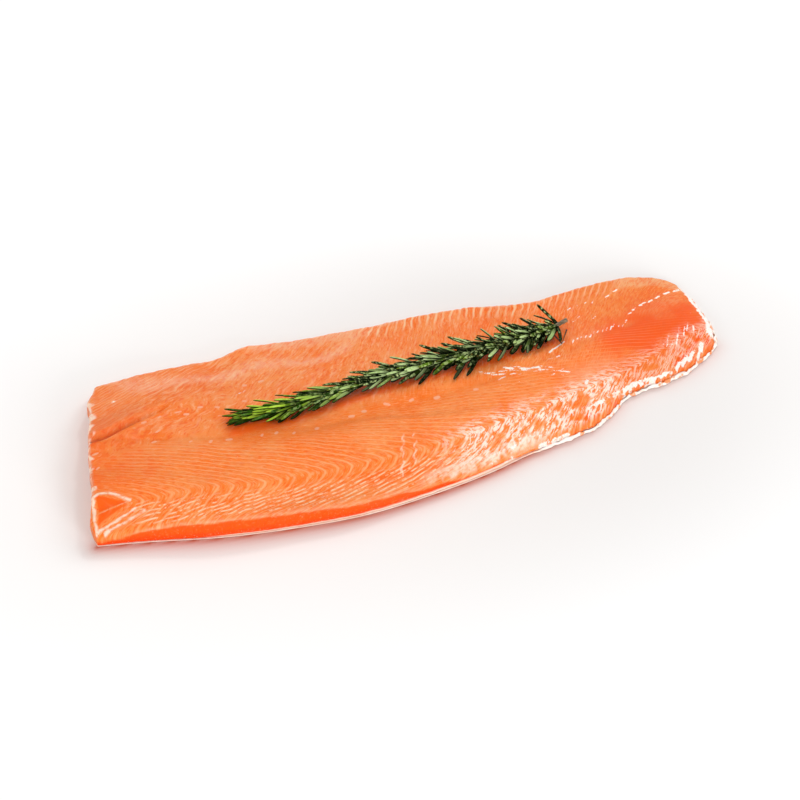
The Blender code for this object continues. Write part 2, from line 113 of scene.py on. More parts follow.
# The fine grid of the flesh.
STEPS_ALONG = 520
STEPS_ACROSS = 190
RIM_STEPS = (0.0, 0.02, 0.05, 0.09, 0.14, 0.20, 0.28, 0.38, 0.50, 0.64, 0.81, 1.0)
END_RIM_STEPS = (0.0, 0.08, 0.22, 0.42, 0.68, 1.0)
WALL_ROWS = 12
WALL_BULGE = 0.0007
WALL_LUMPS = 0.0005
CORNER_END_X = -0.212        # up to here, pale streaks of the head corner run down the wall
SKIN_STEPS_ALONG = 420
SKIN_STEPS_ACROSS = 60

# Muscle blocks of the back: the line of their rounded ends, and how they spread from it (millimetres).
APEX_LINE_MM = [(-232, -46), (-190, -50), (-170, -51), (-150, -54), (-130, -57.5), (-88, -60), (-50, -59.5),
                (-15, -57.5), (10, -54), (35, -50), (62, -42.5), (85, -38.5), (110, -31.5), (130, -25.5),
                (150, -19), (175, -10), (204, 3), (232, 13)]
APEX_RISE_PAST_TAIL = 0.36
APEX_ROUNDING = 13.0
APEX_BEND = 0.5               # how fast the upper line leaves the end itself
APEX_PITCH_MM = [(-232, 9.5), (-100, 9.8), (0, 10.0), (110, 9.0), (150, 7.5), (190, 6.2), (232, 6.0)]
UPPER_SLOPE = [(-232, 0.53), (-120, 0.53), (-40, 0.44), (20, 0.28), (70, 0.13), (232, 0.07)]
LOWER_SLOPE = [(-232, 0.40), (-100, 0.40), (0, 0.55), (50, 0.90), (232, 0.90)]
LOWER_CURVE = [(-232, 0.120), (-100, 0.110), (0, 0.045), (50, 0.010), (232, 0.006)]
# Muscle blocks of the belly: lines that rise from the middle to the belly edge (millimetres, degrees).
BELLY_PITCH_MM = [(-232, 6.5), (-110, 7.0), (-80, 9.0), (-30, 8.0), (0, 6.4), (105, 5.8), (232, 5.4)]
BELLY_ANGLE = [(-232, 24), (-150, 24), (-110, 28), (-70, 45), (-20, 50), (0, 60), (40, 67), (90, 67),
               (120, 60), (170, 56), (232, 50)]

# Height of the top of the deep orange back wall (x, height, in millimetres); it ends where this is 0.
WALL_TOP_MM = [(-225, 3.5), (-212, 6), (-200, 9), (-185, 11.5), (-150, 13.5), (-100, 12.5), (-60, 10.5),
               (-38, 9.5), (-28, 8.7), (-17, 7), (0, 6.3), (10, 5), (20, 4), (40, 4), (52, 2.5),
               (60, 0), (70, -4)]

# Dots of fat and bone ends along the pin bones (x, y, in millimetres), and the two large ones.
PIN_DOTS_MM = [(-217, -16), (-216, -2), (-195, 48), (-177, -5), (-173, 5), (-180, 17), (-169, 20), (-157, 21),
               (-151, 17), (-141, 21), (-130, 17), (-155, -12.5), (-142, -16), (-130, -17.5), (-109, -20),
               (-99, -21), (-88, -24), (-72, -24), (-112, 18), (-107, 37), (-95, 38), (-47, -20), (-38, -18),
               (-21, -15), (-4, -15)]
LARGE_DOTS_MM = [(13, -17, 5.4, 3.8, 10, 0.8), (41, -16, 4.4, 3.0, 0, 0.8)]
# White streaks and patches of fat, and painted glare patches: (x, y, length, width, angle in degrees,
# strength).
PATCHES_MM = [(70, -1, 9, 2.6, -20, 0.8), (80, -4, 8, 2.6, -20, 0.8), (88, -6, 6, 2.2, -15, 0.7),
              (62, -9, 7, 1.6, 20, 0.6), (74, -9, 6, 1.4, 0, 0.5), (59, -16, 9, 1.2, 8, 0.5),
              (71, -16, 7, 1.2, -10, 0.5), (81, -12, 5, 1.3, -30, 0.4), (101, 2, 4, 2.0, 0, 0.6),
              (107, 3, 4, 1.8, 0, 0.6), (105, 10.5, 6, 2.2, 35, 0.8), (112, 14.5, 14, 1.7, 31, 0.8),
              (97, -15, 5, 1.5, 25, 0.5), (105, -11, 8, 1.0, 12, 0.5), (118, -25, 6, 3.0, 45, 0.8),
              (134, 53, 7, 1.8, 34, 0.6), (141, 55.5, 3, 1.4, 45, 0.5), (148, 57, 4, 1.4, 40, 0.6),
              (153, 56, 4, 1.6, 40, 0.6), (166, 59.5, 9, 1.5, 32, 0.6), (173, 63.5, 7, 1.5, 27, 0.6),
              (133, 38.5, 17, 1.2, 38, 0.5), (147.5, 38, 7, 1.2, 38, 0.6), (-196, 48, 4, 3.0, 60, 0.4),
              (-112, 29, 17, 1.0, 28, 0.5), (-109, 30, 6, 1.0, 35, 0.4), (-81, 20, 4, 1.4, 60, 0.4),
              (-66, 22, 4, 1.4, 60, 0.4), (28, -67, 13, 2.0, 14, 0.5), (41, -66, 12, 2.2, 18, 0.5),
              (53, -63, 11, 2.2, 24, 0.55), (36, -70.5, 12, 1.4, 16, 0.5),
              (48, -68.5, 12, 1.4, 18, 0.5), (194, -17, 12, 3.6, 45, 0.9), (200, -14, 12, 3.2, 48, 0.9),
              (188, -20, 9, 3.0, 45, 0.9), (204, -17, 6, 2.4, 30, 0.8), (210.5, -7.5, 10, 3.6, 60, 1.0),
              (206, -13, 6, 2.4, 45, 0.8)]
# The fat line along the middle of the tail, as dashes (x, y, length, width, angle, strength).
SEPTUM_MM = [(173, 35, 6, 1.8, 30, 0.6), (178, 39, 7, 2.2, 32, 0.7), (186, 43, 8, 2.2, 25, 0.8),
             (193, 45, 6, 2.0, 30, 0.8), (200, 48.5, 7, 2.2, 32, 0.8), (209, 52.5, 7, 2.2, 20, 0.8),
             (217, 54, 10, 2.2, 22, 0.9)]
# Tail end of the flesh that white fat covers, and the fat band along the back edge (millimetres).
TAIL_FAT_MM = [(225.5, 60), (223.5, 45), (225.5, 30), (225.5, 15), (223, 8), (222, 3)]
BACK_FAT_MM = [(112, -45.5), (120, -42), (128, -38.5), (135, -35), (143, -31.5), (150, -29),
               (158, -27.5), (165, -27), (174, -25.5), (182, -23.5)]
# Deep orange places where the flesh is bare and thin: (x, y, length, width, angle, strength).
BARE_MM = [(111, -50.2, 13, 4.6, 14, 1.0), (133.5, -41, 8, 2.6, 32, 1.0), (150, -32.6, 7, 2.2, 20, 1.0),
           (164, -29.0, 6, 2.0, 5, 0.9), (177, -28.2, 6, 1.8, 10, 0.9), (217.5, -3, 10, 6.0, 60, 1.0),
           (-1, -20, 2.2, 1.6, 0, 0.8)]
# The deep orange groove along the back edge of the tail.
DEEP_GROOVE_MM = [(186, -18.5), (200, -10), (208, -3), (214, 2), (222, 11)]
# Broad deep and pale zones of the flesh: (x, y, length, width, angle, strength).
DEEP_ZONES_MM = [(183, 17, 84, 38, 18, 1.7), (160, 12, 40, 18, 8, 0.5), (70, 56, 34, 8, 38, 0.5),
                 (-28, -71, 78, 9, 4, 0.65), (-206, 6, 34, 12, 5, 0.5), (-186, 12, 20, 8, 30, 0.5),
                 (-210, -20, 26, 7, -5, 0.6), (-206, -32, 18, 4, -10, 0.4), (-170, 76, 10, 10, 60, 0.4),
                 (-206, -8, 44, 62, 0, 0.42)]
PALE_ZONES_MM = [(190, 34, 60, 15, 26, 0.45), (150, 22, 50, 8, 14, 0.35), (126, -14, 50, 14, 22, 0.40)]
# Fine wrinkles that cross the back edge, with painted glints along them.
WRINKLES_MM = [[(-19, -44), (-22, -55), (-24, -63), (-28, -72)], [(-11, -45), (-14, -56), (-17, -66)]]
# The pocket at the corner: two deep orange corners, its pale lip, its pink slit and streaks beside it.
POCKET_CORNERS_MM = [[(-222.5, -38.5), (-222.5, -48.6), (-204, -47.6)],
                     [(-203, -49), (-223, -50.5), (-225, -57)]]
POCKET_LIP_MM = [(-226.5, -54), (-225.5, -47), (-224.5, -40), (-220, -37.8), (-214, -38.6),
                 (-208, -42.5), (-202, -47)]
POCKET_SLIT_MM = [(-224, -50.2), (-203, -47.6)]
CORNER_STREAKS_MM = [[(-226.5, -55), (-227, -61.5)], [(-226, -61), (-214, -58.5), (-200, -54)],
                     [(-222, -62.5), (-208, -60.5), (-194, -56.5)]]

# Rosemary: the stem's line seen from above, from the tip to the cut end.
STEM_LINE = [(-0.1080, -0.0034), (-0.0960, -0.0034), (-0.0847, -0.0028), (-0.0666, 0.0004),
             (-0.0488, 0.0025), (-0.0301, 0.0070), (-0.0116, 0.0100), (0.0065, 0.0114),
             (0.0250, 0.0138), (0.0438, 0.0162), (0.0624, 0.0178), (0.0821, 0.0220), (0.0986, 0.0265),
             (0.1106, 0.0292), (0.1245, 0.0345)]
STEM_RADIUS_TIP = 0.0008
STEM_RADIUS_CUT = 0.0016
STEM_LIFT = [(0.0, 0.0034), (0.25, 0.0052), (1.0, 0.0052)]    # the axis above the flesh, on its needles
# Needles: sizes and angles for a share of the stem's length, from the tip to the cut end.
NEEDLE_COUNT = 146
NEEDLE_END = 0.965
NEEDLE_TURN = 2.4            # radians from one needle to the next, round the stem
NEEDLE_LENGTH = [(0.00, 0.0215), (0.10, 0.0240), (0.30, 0.0235), (0.50, 0.0225), (0.75, 0.0235),
                 (1.00, 0.0210)]
NEEDLE_WIDTH = [(0.00, 0.0020), (0.30, 0.0025), (0.60, 0.0028), (1.00, 0.0028)]
NEEDLE_SPREAD = [(0.00, 12.0), (0.10, 19.0), (0.20, 27.0), (0.33, 22.0), (0.47, 27.0), (0.58, 32.0),
                 (0.65, 36.0), (0.72, 43.0), (0.82, 47.0), (0.95, 43.0), (1.00, 38.0)]
NEEDLE_OPENING = 1.35        # how much wider a needle leaves the stem than it ends
NEEDLE_CURVE = 0.35          # how far it then turns back to the stem's direction
NEEDLE_RISE = 0.9            # share of the spread that is left for needles above the stem
NEEDLE_SINK = 0.3            # and for those that the flesh pushes up
NEEDLE_BEND = 0.07           # how far a needle may bend to either side
NEEDLE_ROLL = 0.6            # how far it may roll about its own line
NEEDLE_ROLL_ROOM = 0.6       # share of its half width that a rolled needle needs below it
NEEDLE_THICKNESS = 0.0011
NEEDLE_CLEARANCE = 0.0004
ROSEMARY_SEED = 11
# Long needles that stand off the bunch: share of the stem's length, then how far they reach in x, y and z.
LONG_NEEDLES = [(0.000, -0.0225, 0.0045, 0.0000), (0.020, -0.0230, 0.0095, 0.0010),
                (0.010, -0.0225, -0.0035, -0.0015), (0.562, -0.0185, -0.0175, -0.0040),
                (0.653, -0.0179, -0.0218, -0.0040), (0.690, -0.0175, -0.0205, -0.0035),
                (0.610, -0.0210, 0.0135, 0.0045), (0.690, -0.0205, 0.0145, 0.0045),
                (0.855, -0.0205, 0.0125, 0.0050), (0.965, -0.0118, 0.0138, 0.0100)]
# A bent dry twig near the cut end: (x, y, height above the flesh).
BENT_TWIG = [(0.1095, 0.0290, 0.0050), (0.1142, 0.0148, 0.0012), (0.1214, 0.0252, 0.0040)]
TWIG_RADIUS = 0.0006
TWIG_SIDES = 8
# The finer needles of these looks: small ones between the large ones, and a needle's cross-section as
# (share of the half width, share of the half height), grooved on top, with rolled edges and a rib below.
SMALL_NEEDLE_COUNT = 410
BLADE_SECTION = [(1.00, -0.10), (0.86, 0.50), (0.50, 0.95), (0.16, 0.85), (0.00, 0.45), (-0.16, 0.85),
                 (-0.50, 0.95), (-0.86, 0.50), (-1.00, -0.10), (-0.72, -0.75), (-0.36, -0.45), (0.00, -0.80),
                 (0.36, -0.45), (0.72, -0.75)]
BLADE_STATIONS = (0.0, 0.06, 0.14, 0.26, 0.40, 0.54, 0.68, 0.80, 0.89, 0.95, 0.985)
STEM_SIDES = 12
STEM_STEPS = 120
STEM_JOINTS = 55

# The floor, finer near the side, and how far the side's warm shade reaches on it.
FLOOR_HALF = 4.0
FLOOR_FINE_HALF = 0.36
FLOOR_FINE_STEPS = 240
BACK_EDGE_POINTS = 80
WARM_REACH_MM = 4.5
WARM_LOSS_AT_TAIL = 0.7

# Lights: (name, place, target, size, power, whether reflections show it), and the strength all round.
LIGHTS = [("window behind", (1.15, 0.75, 0.95), (0.0, 0.0, 0.0), 0.80, 7.4, False),
          ("lamp behind", (0.41, 0.80, 0.86), (0.02, 0.0, 0.0), 0.16, 2.5, True),
          ("weak left fill", (-1.6, -0.5, 1.0), (0.0, 0.0, 0.0), 1.0, 7.5, True),
          ("low front fill", (0.7, -2.2, 0.50), (0.0, -0.05, 0.0), 1.0, 25.0, True)]
WORLD_STRENGTH = 0.66

# Camera: the photograph's view.
CAMERA_TARGET = Vector((-0.005, 0.0095, 0.0))
CAMERA_AZIMUTH = math.radians(-16.5)
CAMERA_ELEVATION = math.radians(45.0)
CAMERA_DISTANCE = 1.3
CAMERA_LENS = 85.0
CAMERA_SENSOR = 36.0
CAMERA_CLIP_START = 0.01


def smooth_line(points, x):
    """Read a smooth curve through the points at x, which may be an array."""
    known_x, known_y = np.array(points, dtype=float).T
    slopes = np.gradient(known_y, known_x)
    x = np.clip(x, known_x[0], known_x[-1])
    place = np.clip(np.searchsorted(known_x, x) - 1, 0, len(known_x) - 2)
    step = known_x[place + 1] - known_x[place]
    t = (x - known_x[place]) / step
    start = (1 + 2 * t) * (1 - t) ** 2 * known_y[place] + t * (1 - t) ** 2 * step * slopes[place]
    end = t * t * (3 - 2 * t) * known_y[place + 1] - t * t * (1 - t) * step * slopes[place + 1]
    return start + end


def ragged(x):
    """Uneven wander of a torn edge, between -1 and 1."""
    return (np.sin(x * 310.0 + 1.0) + 0.6 * np.sin(x * 757.0 + 2.2) + 0.4 * np.sin(x * 1319.0)) / 2.0


def back_side_y(x):
    """The side's thick back edge, torn towards the tail."""
    torn = np.clip((x - TORN_FROM_X) / TORN_FULLY_AFTER, 0.0, 1.0)
    return smooth_line(BACK_SIDE_EDGE, x) + RAGGED_EDGE * torn * ragged(x)


def belly_y(x):
    """The side's thin belly edge."""
    return smooth_line(BELLY_EDGE, x) + 0.5 * RAGGED_EDGE * ragged(x + 0.3)


def plan_point(along, across, inset_head=0.0, inset_tail=0.0, inset_back=0.0, inset_belly=0.0):
    """Seen from above, the point at a share of the length and of the width."""
    head = smooth_line(HEAD_END, across) + inset_head + 0.4 * RAGGED_EDGE * ragged(across * 0.15)
    tail = smooth_line(TAIL_END, across) - inset_tail + 0.6 * RAGGED_EDGE * ragged(across * 0.09 + 0.5)
    x = head + (tail - head) * along
    low = back_side_y(x) + inset_back
    high = belly_y(x) - inset_belly
    return x, low + (high - low) * across


def flesh_height(x, y):
    """Height of the flesh's top above the table, away from the rounded rims."""
    low = back_side_y(x)
    across = np.clip((y - low) / (belly_y(x) - low), 0.0, 1.0)
    loin = smooth_line(LOIN_TOP, x)
    wall = smooth_line(BACK_WALL_TOP, x)
    belly = smooth_line(BELLY_TOP, x)
    rise = 1.0 - (1.0 - np.clip(across / LOIN_PLACE, 0.0, 1.0)) ** LOIN_ROUNDNESS
    t = np.clip((across - LOIN_PLACE) / (1.0 - LOIN_PLACE), 0.0, 1.0)
    fall = BELLY_FALL_EASED * (1.0 + np.cos(math.pi * t)) / 2.0 + (1.0 - BELLY_FALL_EASED) * (1.0 - t * t)
    height = np.where(across < LOIN_PLACE, wall + (loin - wall) * rise, belly + (loin - belly) * fall)
    return height + cleft(x, y) + pocket(x, y) + pin_bone_groove(x, y) + waves(x, y)


def cleft(x, y):
    """The belly flap, raised over the loin at the head end, and the cleft between them."""
    strength = np.clip((CLEFT_END_X - x) / CLEFT_FADE, 0.0, 1.0) ** 0.8
    side = (y - smooth_line(CLEFT_LINE, x)) / CLEFT_HALF_WIDTH
    lift = FLAP_LIFT * (side > 0) * np.exp(-np.maximum(side, 0.0) * CLEFT_HALF_WIDTH / FLAP_LIFT_REACH)
    return strength * (lift - CLEFT_DEPTH * np.exp(-side * side))


def pocket(x, y):
    """A small open fold at the corner, with a raised lip on its inner side."""
    side, fade, width = pocket_place(x, y)
    fold = -POCKET_DEPTH * np.exp(-((side - width) / width) ** 2)
    lip = POCKET_LIP * np.exp(-((side - 3.2 * width) / width) ** 2)
    return (fold + lip) * fade ** 0.7


def pocket_place(x, y):
    """Where a point lies in the pocket: how far beside its fold, and the fold's fade and half width."""
    ax, ay = POCKET_OPEN_END
    bx, by = POCKET_CLOSED_END
    length = math.dist(POCKET_OPEN_END, POCKET_CLOSED_END)
    ux, uy = (bx - ax) / length, (by - ay) / length
    along = (x - ax) * ux + (y - ay) * uy
    side = (y - ay) * ux - (x - ax) * uy
    fade = np.clip((length - along) / length, 0.0, 1.0)
    return side, fade, POCKET_HALF_WIDTH * (0.5 + fade)


def pin_bone_groove(x, y):
    """The shallow groove along the line of the pin bones."""
    side = (y - smooth_line(PIN_BONE_LINE, x)) / PIN_BONE_HALF_WIDTH
    return -PIN_BONE_DEPTH * np.exp(-side * side)


def waves(x, y):
    """Slight unevenness of the whole top."""
    return WAVE_HEIGHT * (np.sin(x * 95.0 + y * 60.0) + 0.7 * np.sin(x * 51.0 - y * 120.0 + 1.3))


def rim_share(distance, width, floor, power):
    """Share of the height that is left at a distance inside a rounded rim."""
    t = 1.0 - np.clip(distance / width, 0.0, 1.0)
    return floor + (1.0 - floor) * (1.0 - t ** power) ** (1.0 / power)


def flesh_point(along, across):
    """A point of the flesh's top, with its rounded rims, for shares of the length and the width."""
    x, _ = plan_point(along, across)
    proud = smooth_line(SKIN_PROUD_BACK, x)
    x, y = plan_point(along, across, inset_head=SKIN_PROUD_HEAD, inset_tail=SKIN_PROUD_TAIL,
                      inset_back=proud, inset_belly=SKIN_PROUD_BELLY)
    base = SKIN_THICKNESS + SKIN_GAP
    share = rim_share(across, BACK_WALL_WIDTH, *BACK_RIM)
    share = share * rim_share(1.0 - across, BELLY_RIM_WIDTH, *BELLY_RIM)
    share = share * rim_share(along, HEAD_RIM_LENGTH, *HEAD_RIM)
    share = share * rim_share(1.0 - along, TAIL_RIM_LENGTH, *TAIL_RIM)
    return x, y, base + (flesh_height(x, y) - base) * share


def shares(count, rim_low, rim_high, steps):
    """Rising numbers from 0 to 1, close together in the rims and even between them."""
    low = [rim_low * step for step in steps]
    high = [1.0 - rim_high * step for step in reversed(steps)]
    middle = np.linspace(low[-1], high[0], count + 1)[1:-1]
    return np.array(low + list(middle) + high)


def soft_step(low, high, value):
    """0 at low and 1 at high, with a smooth rise between them."""
    t = np.clip((value - low) / (high - low), 0.0, 1.0)
    return t * t * (3 - 2 * t)


def lattice_noise(x, y, size, seed):
    """A smooth uneven field between 0 and 1, with patches of about the given size."""
    count = 64
    table = np.random.default_rng(seed).random((count, count))
    u, v = x / size + 31.7, y / size + 17.3
    i, j = np.floor(u).astype(int), np.floor(v).astype(int)
    u, v = soft_step(0.0, 1.0, u - i), soft_step(0.0, 1.0, v - j)
    low = table[i % count, j % count] * (1 - u) + table[(i + 1) % count, j % count] * u
    high = table[i % count, (j + 1) % count] * (1 - u) + table[(i + 1) % count, (j + 1) % count] * u
    return low * (1 - v) + high * v


def spots(x, y, places):
    """The strongest of many long soft spots at each point; x, y and the places are in millimetres."""
    field = np.zeros_like(x)
    for cx, cy, length, width, angle, strength in places:
        turn = math.radians(angle)
        along = (x - cx) * math.cos(turn) + (y - cy) * math.sin(turn)
        beside = (y - cy) * math.cos(turn) - (x - cx) * math.sin(turn)
        spot = strength * np.exp(-(2 * along / length) ** 4 - (2 * beside / width) ** 2)
        field = np.maximum(field, spot)
    return field


def distance_to_line(x, y, line):
    """Distance in the plan from each point to a line of several runs."""
    nearest = np.full(np.shape(x), np.inf)
    for (ax, ay), (bx, by) in zip(line, line[1:]):
        run = (bx - ax) ** 2 + (by - ay) ** 2
        t = np.clip(((x - ax) * (bx - ax) + (y - ay) * (by - ay)) / run, 0.0, 1.0)
        nearest = np.minimum(nearest, np.hypot(x - ax - t * (bx - ax), y - ay - t * (by - ay)))
    return nearest


def lines_crossed(pitch_line, a):
    """How many lines, as a smooth number, lie between the head end and a, for a pitch that varies."""
    grid = np.linspace(-260.0, 640.0, 1801)
    steps = (grid[1] - grid[0]) / smooth_line(pitch_line, grid)
    total = np.concatenate(([0.0], np.cumsum(steps)[:-1]))
    return np.interp(a, grid, total)


def solve(function, low, high):
    """Where a rising function of an array crosses zero, by halving the range."""
    for _ in range(30):
        middle = (low + high) / 2
        above = function(middle) > 0
        low, high = np.where(above, low, middle), np.where(above, middle, high)
    return (low + high) / 2


def window(value, start, full, full_end, end):
    """1 between full and full_end, falling softly to 0 at start and end."""
    return soft_step(start, full, value) * soft_step(end, full_end, value)


def inside_corners(x, y, corners):
    """1 inside a shape with counterclockwise corners, 0 outside, with a soft edge; in millimetres."""
    outside = np.full_like(x, -np.inf)
    for k, (ax, ay) in enumerate(corners):
        bx, by = corners[(k + 1) % len(corners)]
        length = math.hypot(bx - ax, by - ay)
        outside = np.maximum(outside, ((x - ax) * (by - ay) - (y - ay) * (bx - ax)) / length)
    return soft_step(0.7, -0.5, outside)


def apex_y(a):
    """The line of the muscle blocks' ends, carried on at a steady rise past the tail."""
    return smooth_line(APEX_LINE_MM, a) + APEX_RISE_PAST_TAIL * np.maximum(a - APEX_LINE_MM[-1][0], 0.0)


def back_lines(x, y):
    """Phase of the back's muscle lines: each runs back from its end, upwards and downwards."""

    def upper_gap(a):
        rise = np.maximum(y - apex_y(a), 0.0)
        bend = np.hypot(rise / smooth_line(UPPER_SLOPE, a), APEX_ROUNDING) - APEX_ROUNDING
        return a - x - APEX_BEND * rise - bend

    upper = solve(upper_gap, x, x + 420.0)
    lower = x
    for _ in range(2):
        below = np.clip(apex_y(lower) - y, 0.0, 45.0)
        lower = x + smooth_line(LOWER_SLOPE, x) * below + smooth_line(LOWER_CURVE, x) * below ** 2
    return lines_crossed(APEX_PITCH_MM, np.where(apex_y(x) > y, lower, upper))


def belly_lines(x, inside):
    """Phase of the belly's muscle lines, for points at a distance inside the belly edge."""

    def gap(b):
        return b - x - np.maximum(inside, 0.0) / np.tan(np.radians(smooth_line(BELLY_ANGLE, b)))

    return lines_crossed(BELLY_PITCH_MM, solve(gap, x - 1.0, x + 260.0))


def ridge(phase, half_width):
    """1 on a line, falling to 0 at its half width, as a share of the pitch."""
    nearest = np.abs((phase + 0.5) % 1.0 - 0.5)
    return 1.0 - soft_step(0.0, half_width, nearest)


class Plan:
    """Where the flesh's points lie, in millimetres, and the uneven fields that the painting shares."""

    def __init__(self, x, y, z):
        self.x, self.y, self.z = x / MM, y / MM, z / MM
        self.edge = self.y - back_side_y(x) / MM
        self.inside = belly_y(x) / MM - self.y
        self.head = (x - head_edge_x(x, y)) / MM
        self.pin = self.y - smooth_line(PIN_BONE_LINE, x) / MM
        self.cleft = self.y - smooth_line(CLEFT_LINE, x) / MM
        self.below_apex = apex_y(self.x) - self.y
        self.patchy = lattice_noise(self.x, self.y, 9.0, 3)
        self.middling = lattice_noise(self.x, self.y, 4.5, 10)
        self.fine = lattice_noise(self.x, self.y, 2.2, 4)
        wander = 0.20 * (lattice_noise(self.x, self.y, 14.0, 5) - 0.5)
        wander = wander + 0.16 * (lattice_noise(self.x, self.y, 4.0, 6) - 0.5)
        self.back_phase = back_lines(self.x, self.y) + wander
        crumple = 0.9 * lattice_noise(self.x, self.y, 12.0, 18) * soft_step(-90.0, -130.0, self.x)
        self.belly_phase = belly_lines(self.x, self.inside) + 1.3 * wander + crumple
        sway = 0.9 * lattice_noise(self.x, self.y * 1.5, 26.0, 13)
        sway = sway + 0.6 * lattice_noise(self.x, self.y, 8.0, 14)
        self.rim_phase = (self.edge - 0.22 * self.x) / 2.4 + sway


def paint_back_lines(p):
    """Strength of the back's pale lines, of its painted glare strokes and glints, and of the strokes by the
    rim.
    """
    above = soft_step(1.5, -2.5, p.below_apex)
    upper = 0.80 * (1.0 - 0.55 * soft_step(60.0, 120.0, p.x) - 0.25 * soft_step(150.0, 200.0, p.x))
    lower = 0.85 * (1.0 - 0.5 * soft_step(120.0, 160.0, p.x))
    lines = (upper * above + lower * (1.0 - above)) * soft_step(1.0, 11.0, -p.pin)
    lines = lines * soft_step(-224.0, -188.0, p.x) * (0.55 + 0.75 * p.patchy)
    # Painted glare: the zone where white strokes and glints lie on the muscle lines.
    shine = soft_step(-14.0, 34.0, p.x) * window(p.below_apex, -15.0, 1.0, 19.0, 26.0)
    shine = shine * (1.0 - 0.45 * soft_step(134.0, 150.0, p.x)) * soft_step(0.12, 0.45, p.middling)
    shine = shine * soft_step(2.0, 6.0, p.edge)
    rim = window(p.edge, 2.5, 5.0, 15.0, 21.0) * window(p.x, -212.0, -190.0, 20.0, 60.0)
    return lines, shine, rim


def paint_belly_lines(p):
    """Strength of the belly's pale lines: stripes on the flap, and strokes near the belly edge."""
    flap = 0.46 * soft_step(-92.0, -118.0, p.x) * window(p.inside, 1.0, 5.0, 26.0, 46.0)
    flap = flap * soft_step(0.15, 0.65, p.middling)
    brush = 0.36 * window(p.x, -112.0, -90.0, -25.0, -5.0) * soft_step(36.0, 8.0, p.inside)
    strokes = 1.0 * window(p.x, -28.0, -8.0, 100.0, 122.0) * soft_step(21.0, 9.0, p.inside)
    pink = 0.55 * window(p.x, 105.0, 122.0, 172.0, 186.0) * soft_step(24.0, 8.0, p.inside)
    faint = 0.22 * soft_step(2.0, 14.0, p.pin) * soft_step(190.0, 120.0, p.x)
    faint = faint * soft_step(0.3, 0.8, p.middling)
    lines = np.maximum(np.maximum(flap, brush), np.maximum(strokes, pink))
    return np.maximum(lines, faint) * (0.55 + 0.75 * p.patchy)


def paint_fat(p):
    """White fat and painted glare: patches, rows of dashes, and the bands at the back edge and the tail."""
    draw = random.Random(5)
    row = [(123 + 3.4 * k, 15.5 + 0.85 * k + draw.uniform(-1.5, 1.5), draw.uniform(4, 6.5), 1.3,
            draw.uniform(50, 60), draw.uniform(0.45, 0.75)) for k in range(14)]
    slants = [(184 + 3.9 * k, -3 + 2.1 * k + draw.uniform(-3, 3), draw.uniform(8, 12), 1.5,
               draw.uniform(63, 71), draw.uniform(0.4, 0.7)) for k in range(8)]
    # Painted glare: short white patches where light glances off the wet flesh.
    glare = [(50 + 2.3 * k, 3.0 - 0.6 * k + draw.uniform(-6, 4), draw.uniform(5, 9), draw.uniform(0.8, 1.3),
              draw.uniform(-24, -4), draw.uniform(0.5, 0.85)) for k in range(26)]
    fat = spots(p.x, p.y, PATCHES_MM + SEPTUM_MM + row + slants + glare)
    band = distance_to_line(p.x, p.y, BACK_FAT_MM) + 1.6 * (p.fine - 0.5) + 1.2 * (p.middling - 0.5)
    fat = np.maximum(fat, 0.80 * soft_step(2.1, 0.6, band) * (0.30 + 0.9 * p.middling))
    tail = distance_to_line(p.x, p.y, TAIL_FAT_MM) + 2.2 * (p.fine - 0.5)
    fat = np.maximum(fat, soft_step(3.6, 1.6, tail))
    rim = soft_step(3.4, 1.2, p.edge + 1.8 * (p.fine - 0.5)) * window(p.x, 58.0, 76.0, 100.0, 108.0)
    fat = np.maximum(fat, 0.9 * rim)
    return fat * (1.0 - 0.9 * spots(p.x, p.y, BARE_MM))


def paint_deep(p):
    """Deep orange: bare places, the groove at the tail, the pocket's corners, broad zones and painted shadow
    under the sprig.
    """
    deep = np.maximum(spots(p.x, p.y, BARE_MM), spots(p.x, p.y, DEEP_ZONES_MM) * (0.40 + 0.80 * p.patchy))
    groove = distance_to_line(p.x, p.y, DEEP_GROOVE_MM) + 0.8 * (p.fine - 0.5)
    deep = np.maximum(deep, 0.95 * soft_step(2.2, 0.8, groove))
    for corners in POCKET_CORNERS_MM:
        deep = np.maximum(deep, 0.95 * inside_corners(p.x, p.y, corners))
    mottle = window(p.x, -226.0, -220.0, -188.0, -172.0) * window(p.y, -40.0, -30.0, 8.0, 16.0)
    deep = np.maximum(deep, 0.55 * mottle * soft_step(0.40, 0.75, p.middling))
    # Painted shadow: deep orange under the sprig and in a band beside it towards the back edge.
    under_sprig = p.y - smooth_line([(sx / MM, sy / MM) for sx, sy in STEM_LINE], p.x)
    shade = window(under_sprig, -15.0, -9.0, 4.0, 12.0) * window(p.x, -134.0, -124.0, 112.0, 122.0)
    return np.maximum(deep, 0.9 * shade)


def paint_pale(p):
    """Pale pinkish flesh: the belly edge, broad zones by the tail and the head edge."""
    uneven = 4.0 * (p.patchy - 0.5)
    pale = 0.75 * soft_step(5.0, 0.5, p.inside + uneven)
    step = soft_step(15.0, 5.0, p.inside + uneven) * window(p.x, -100.0, -88.0, -30.0, 0.0)
    pale = np.maximum(pale, 0.60 * step)
    pale = np.maximum(pale, 0.9 * soft_step(15.0, 10.0, p.inside + uneven) * soft_step(170.0, 181.0, p.x))
    pale = np.maximum(pale, spots(p.x, p.y, PALE_ZONES_MM))
    return np.maximum(pale, 0.7 * soft_step(3.0, 1.0, p.head) * soft_step(-46.0, -36.0, p.y))


def paint_pink(p):
    """Small pinkish dots along the pin bones, and the pocket's slit."""
    draw = random.Random(9)
    dots = [(cx + draw.uniform(-0.6, 0.6), cy, draw.uniform(3.4, 5.6), draw.uniform(2.0, 3.0),
             draw.uniform(-30, 50), draw.uniform(0.7, 1.0)) for cx, cy in PIN_DOTS_MM]
    pink = spots(p.x, p.y, dots + LARGE_DOTS_MM)
    return np.maximum(pink, 0.45 * soft_step(0.9, 0.3, distance_to_line(p.x, p.y, POCKET_SLIT_MM)))


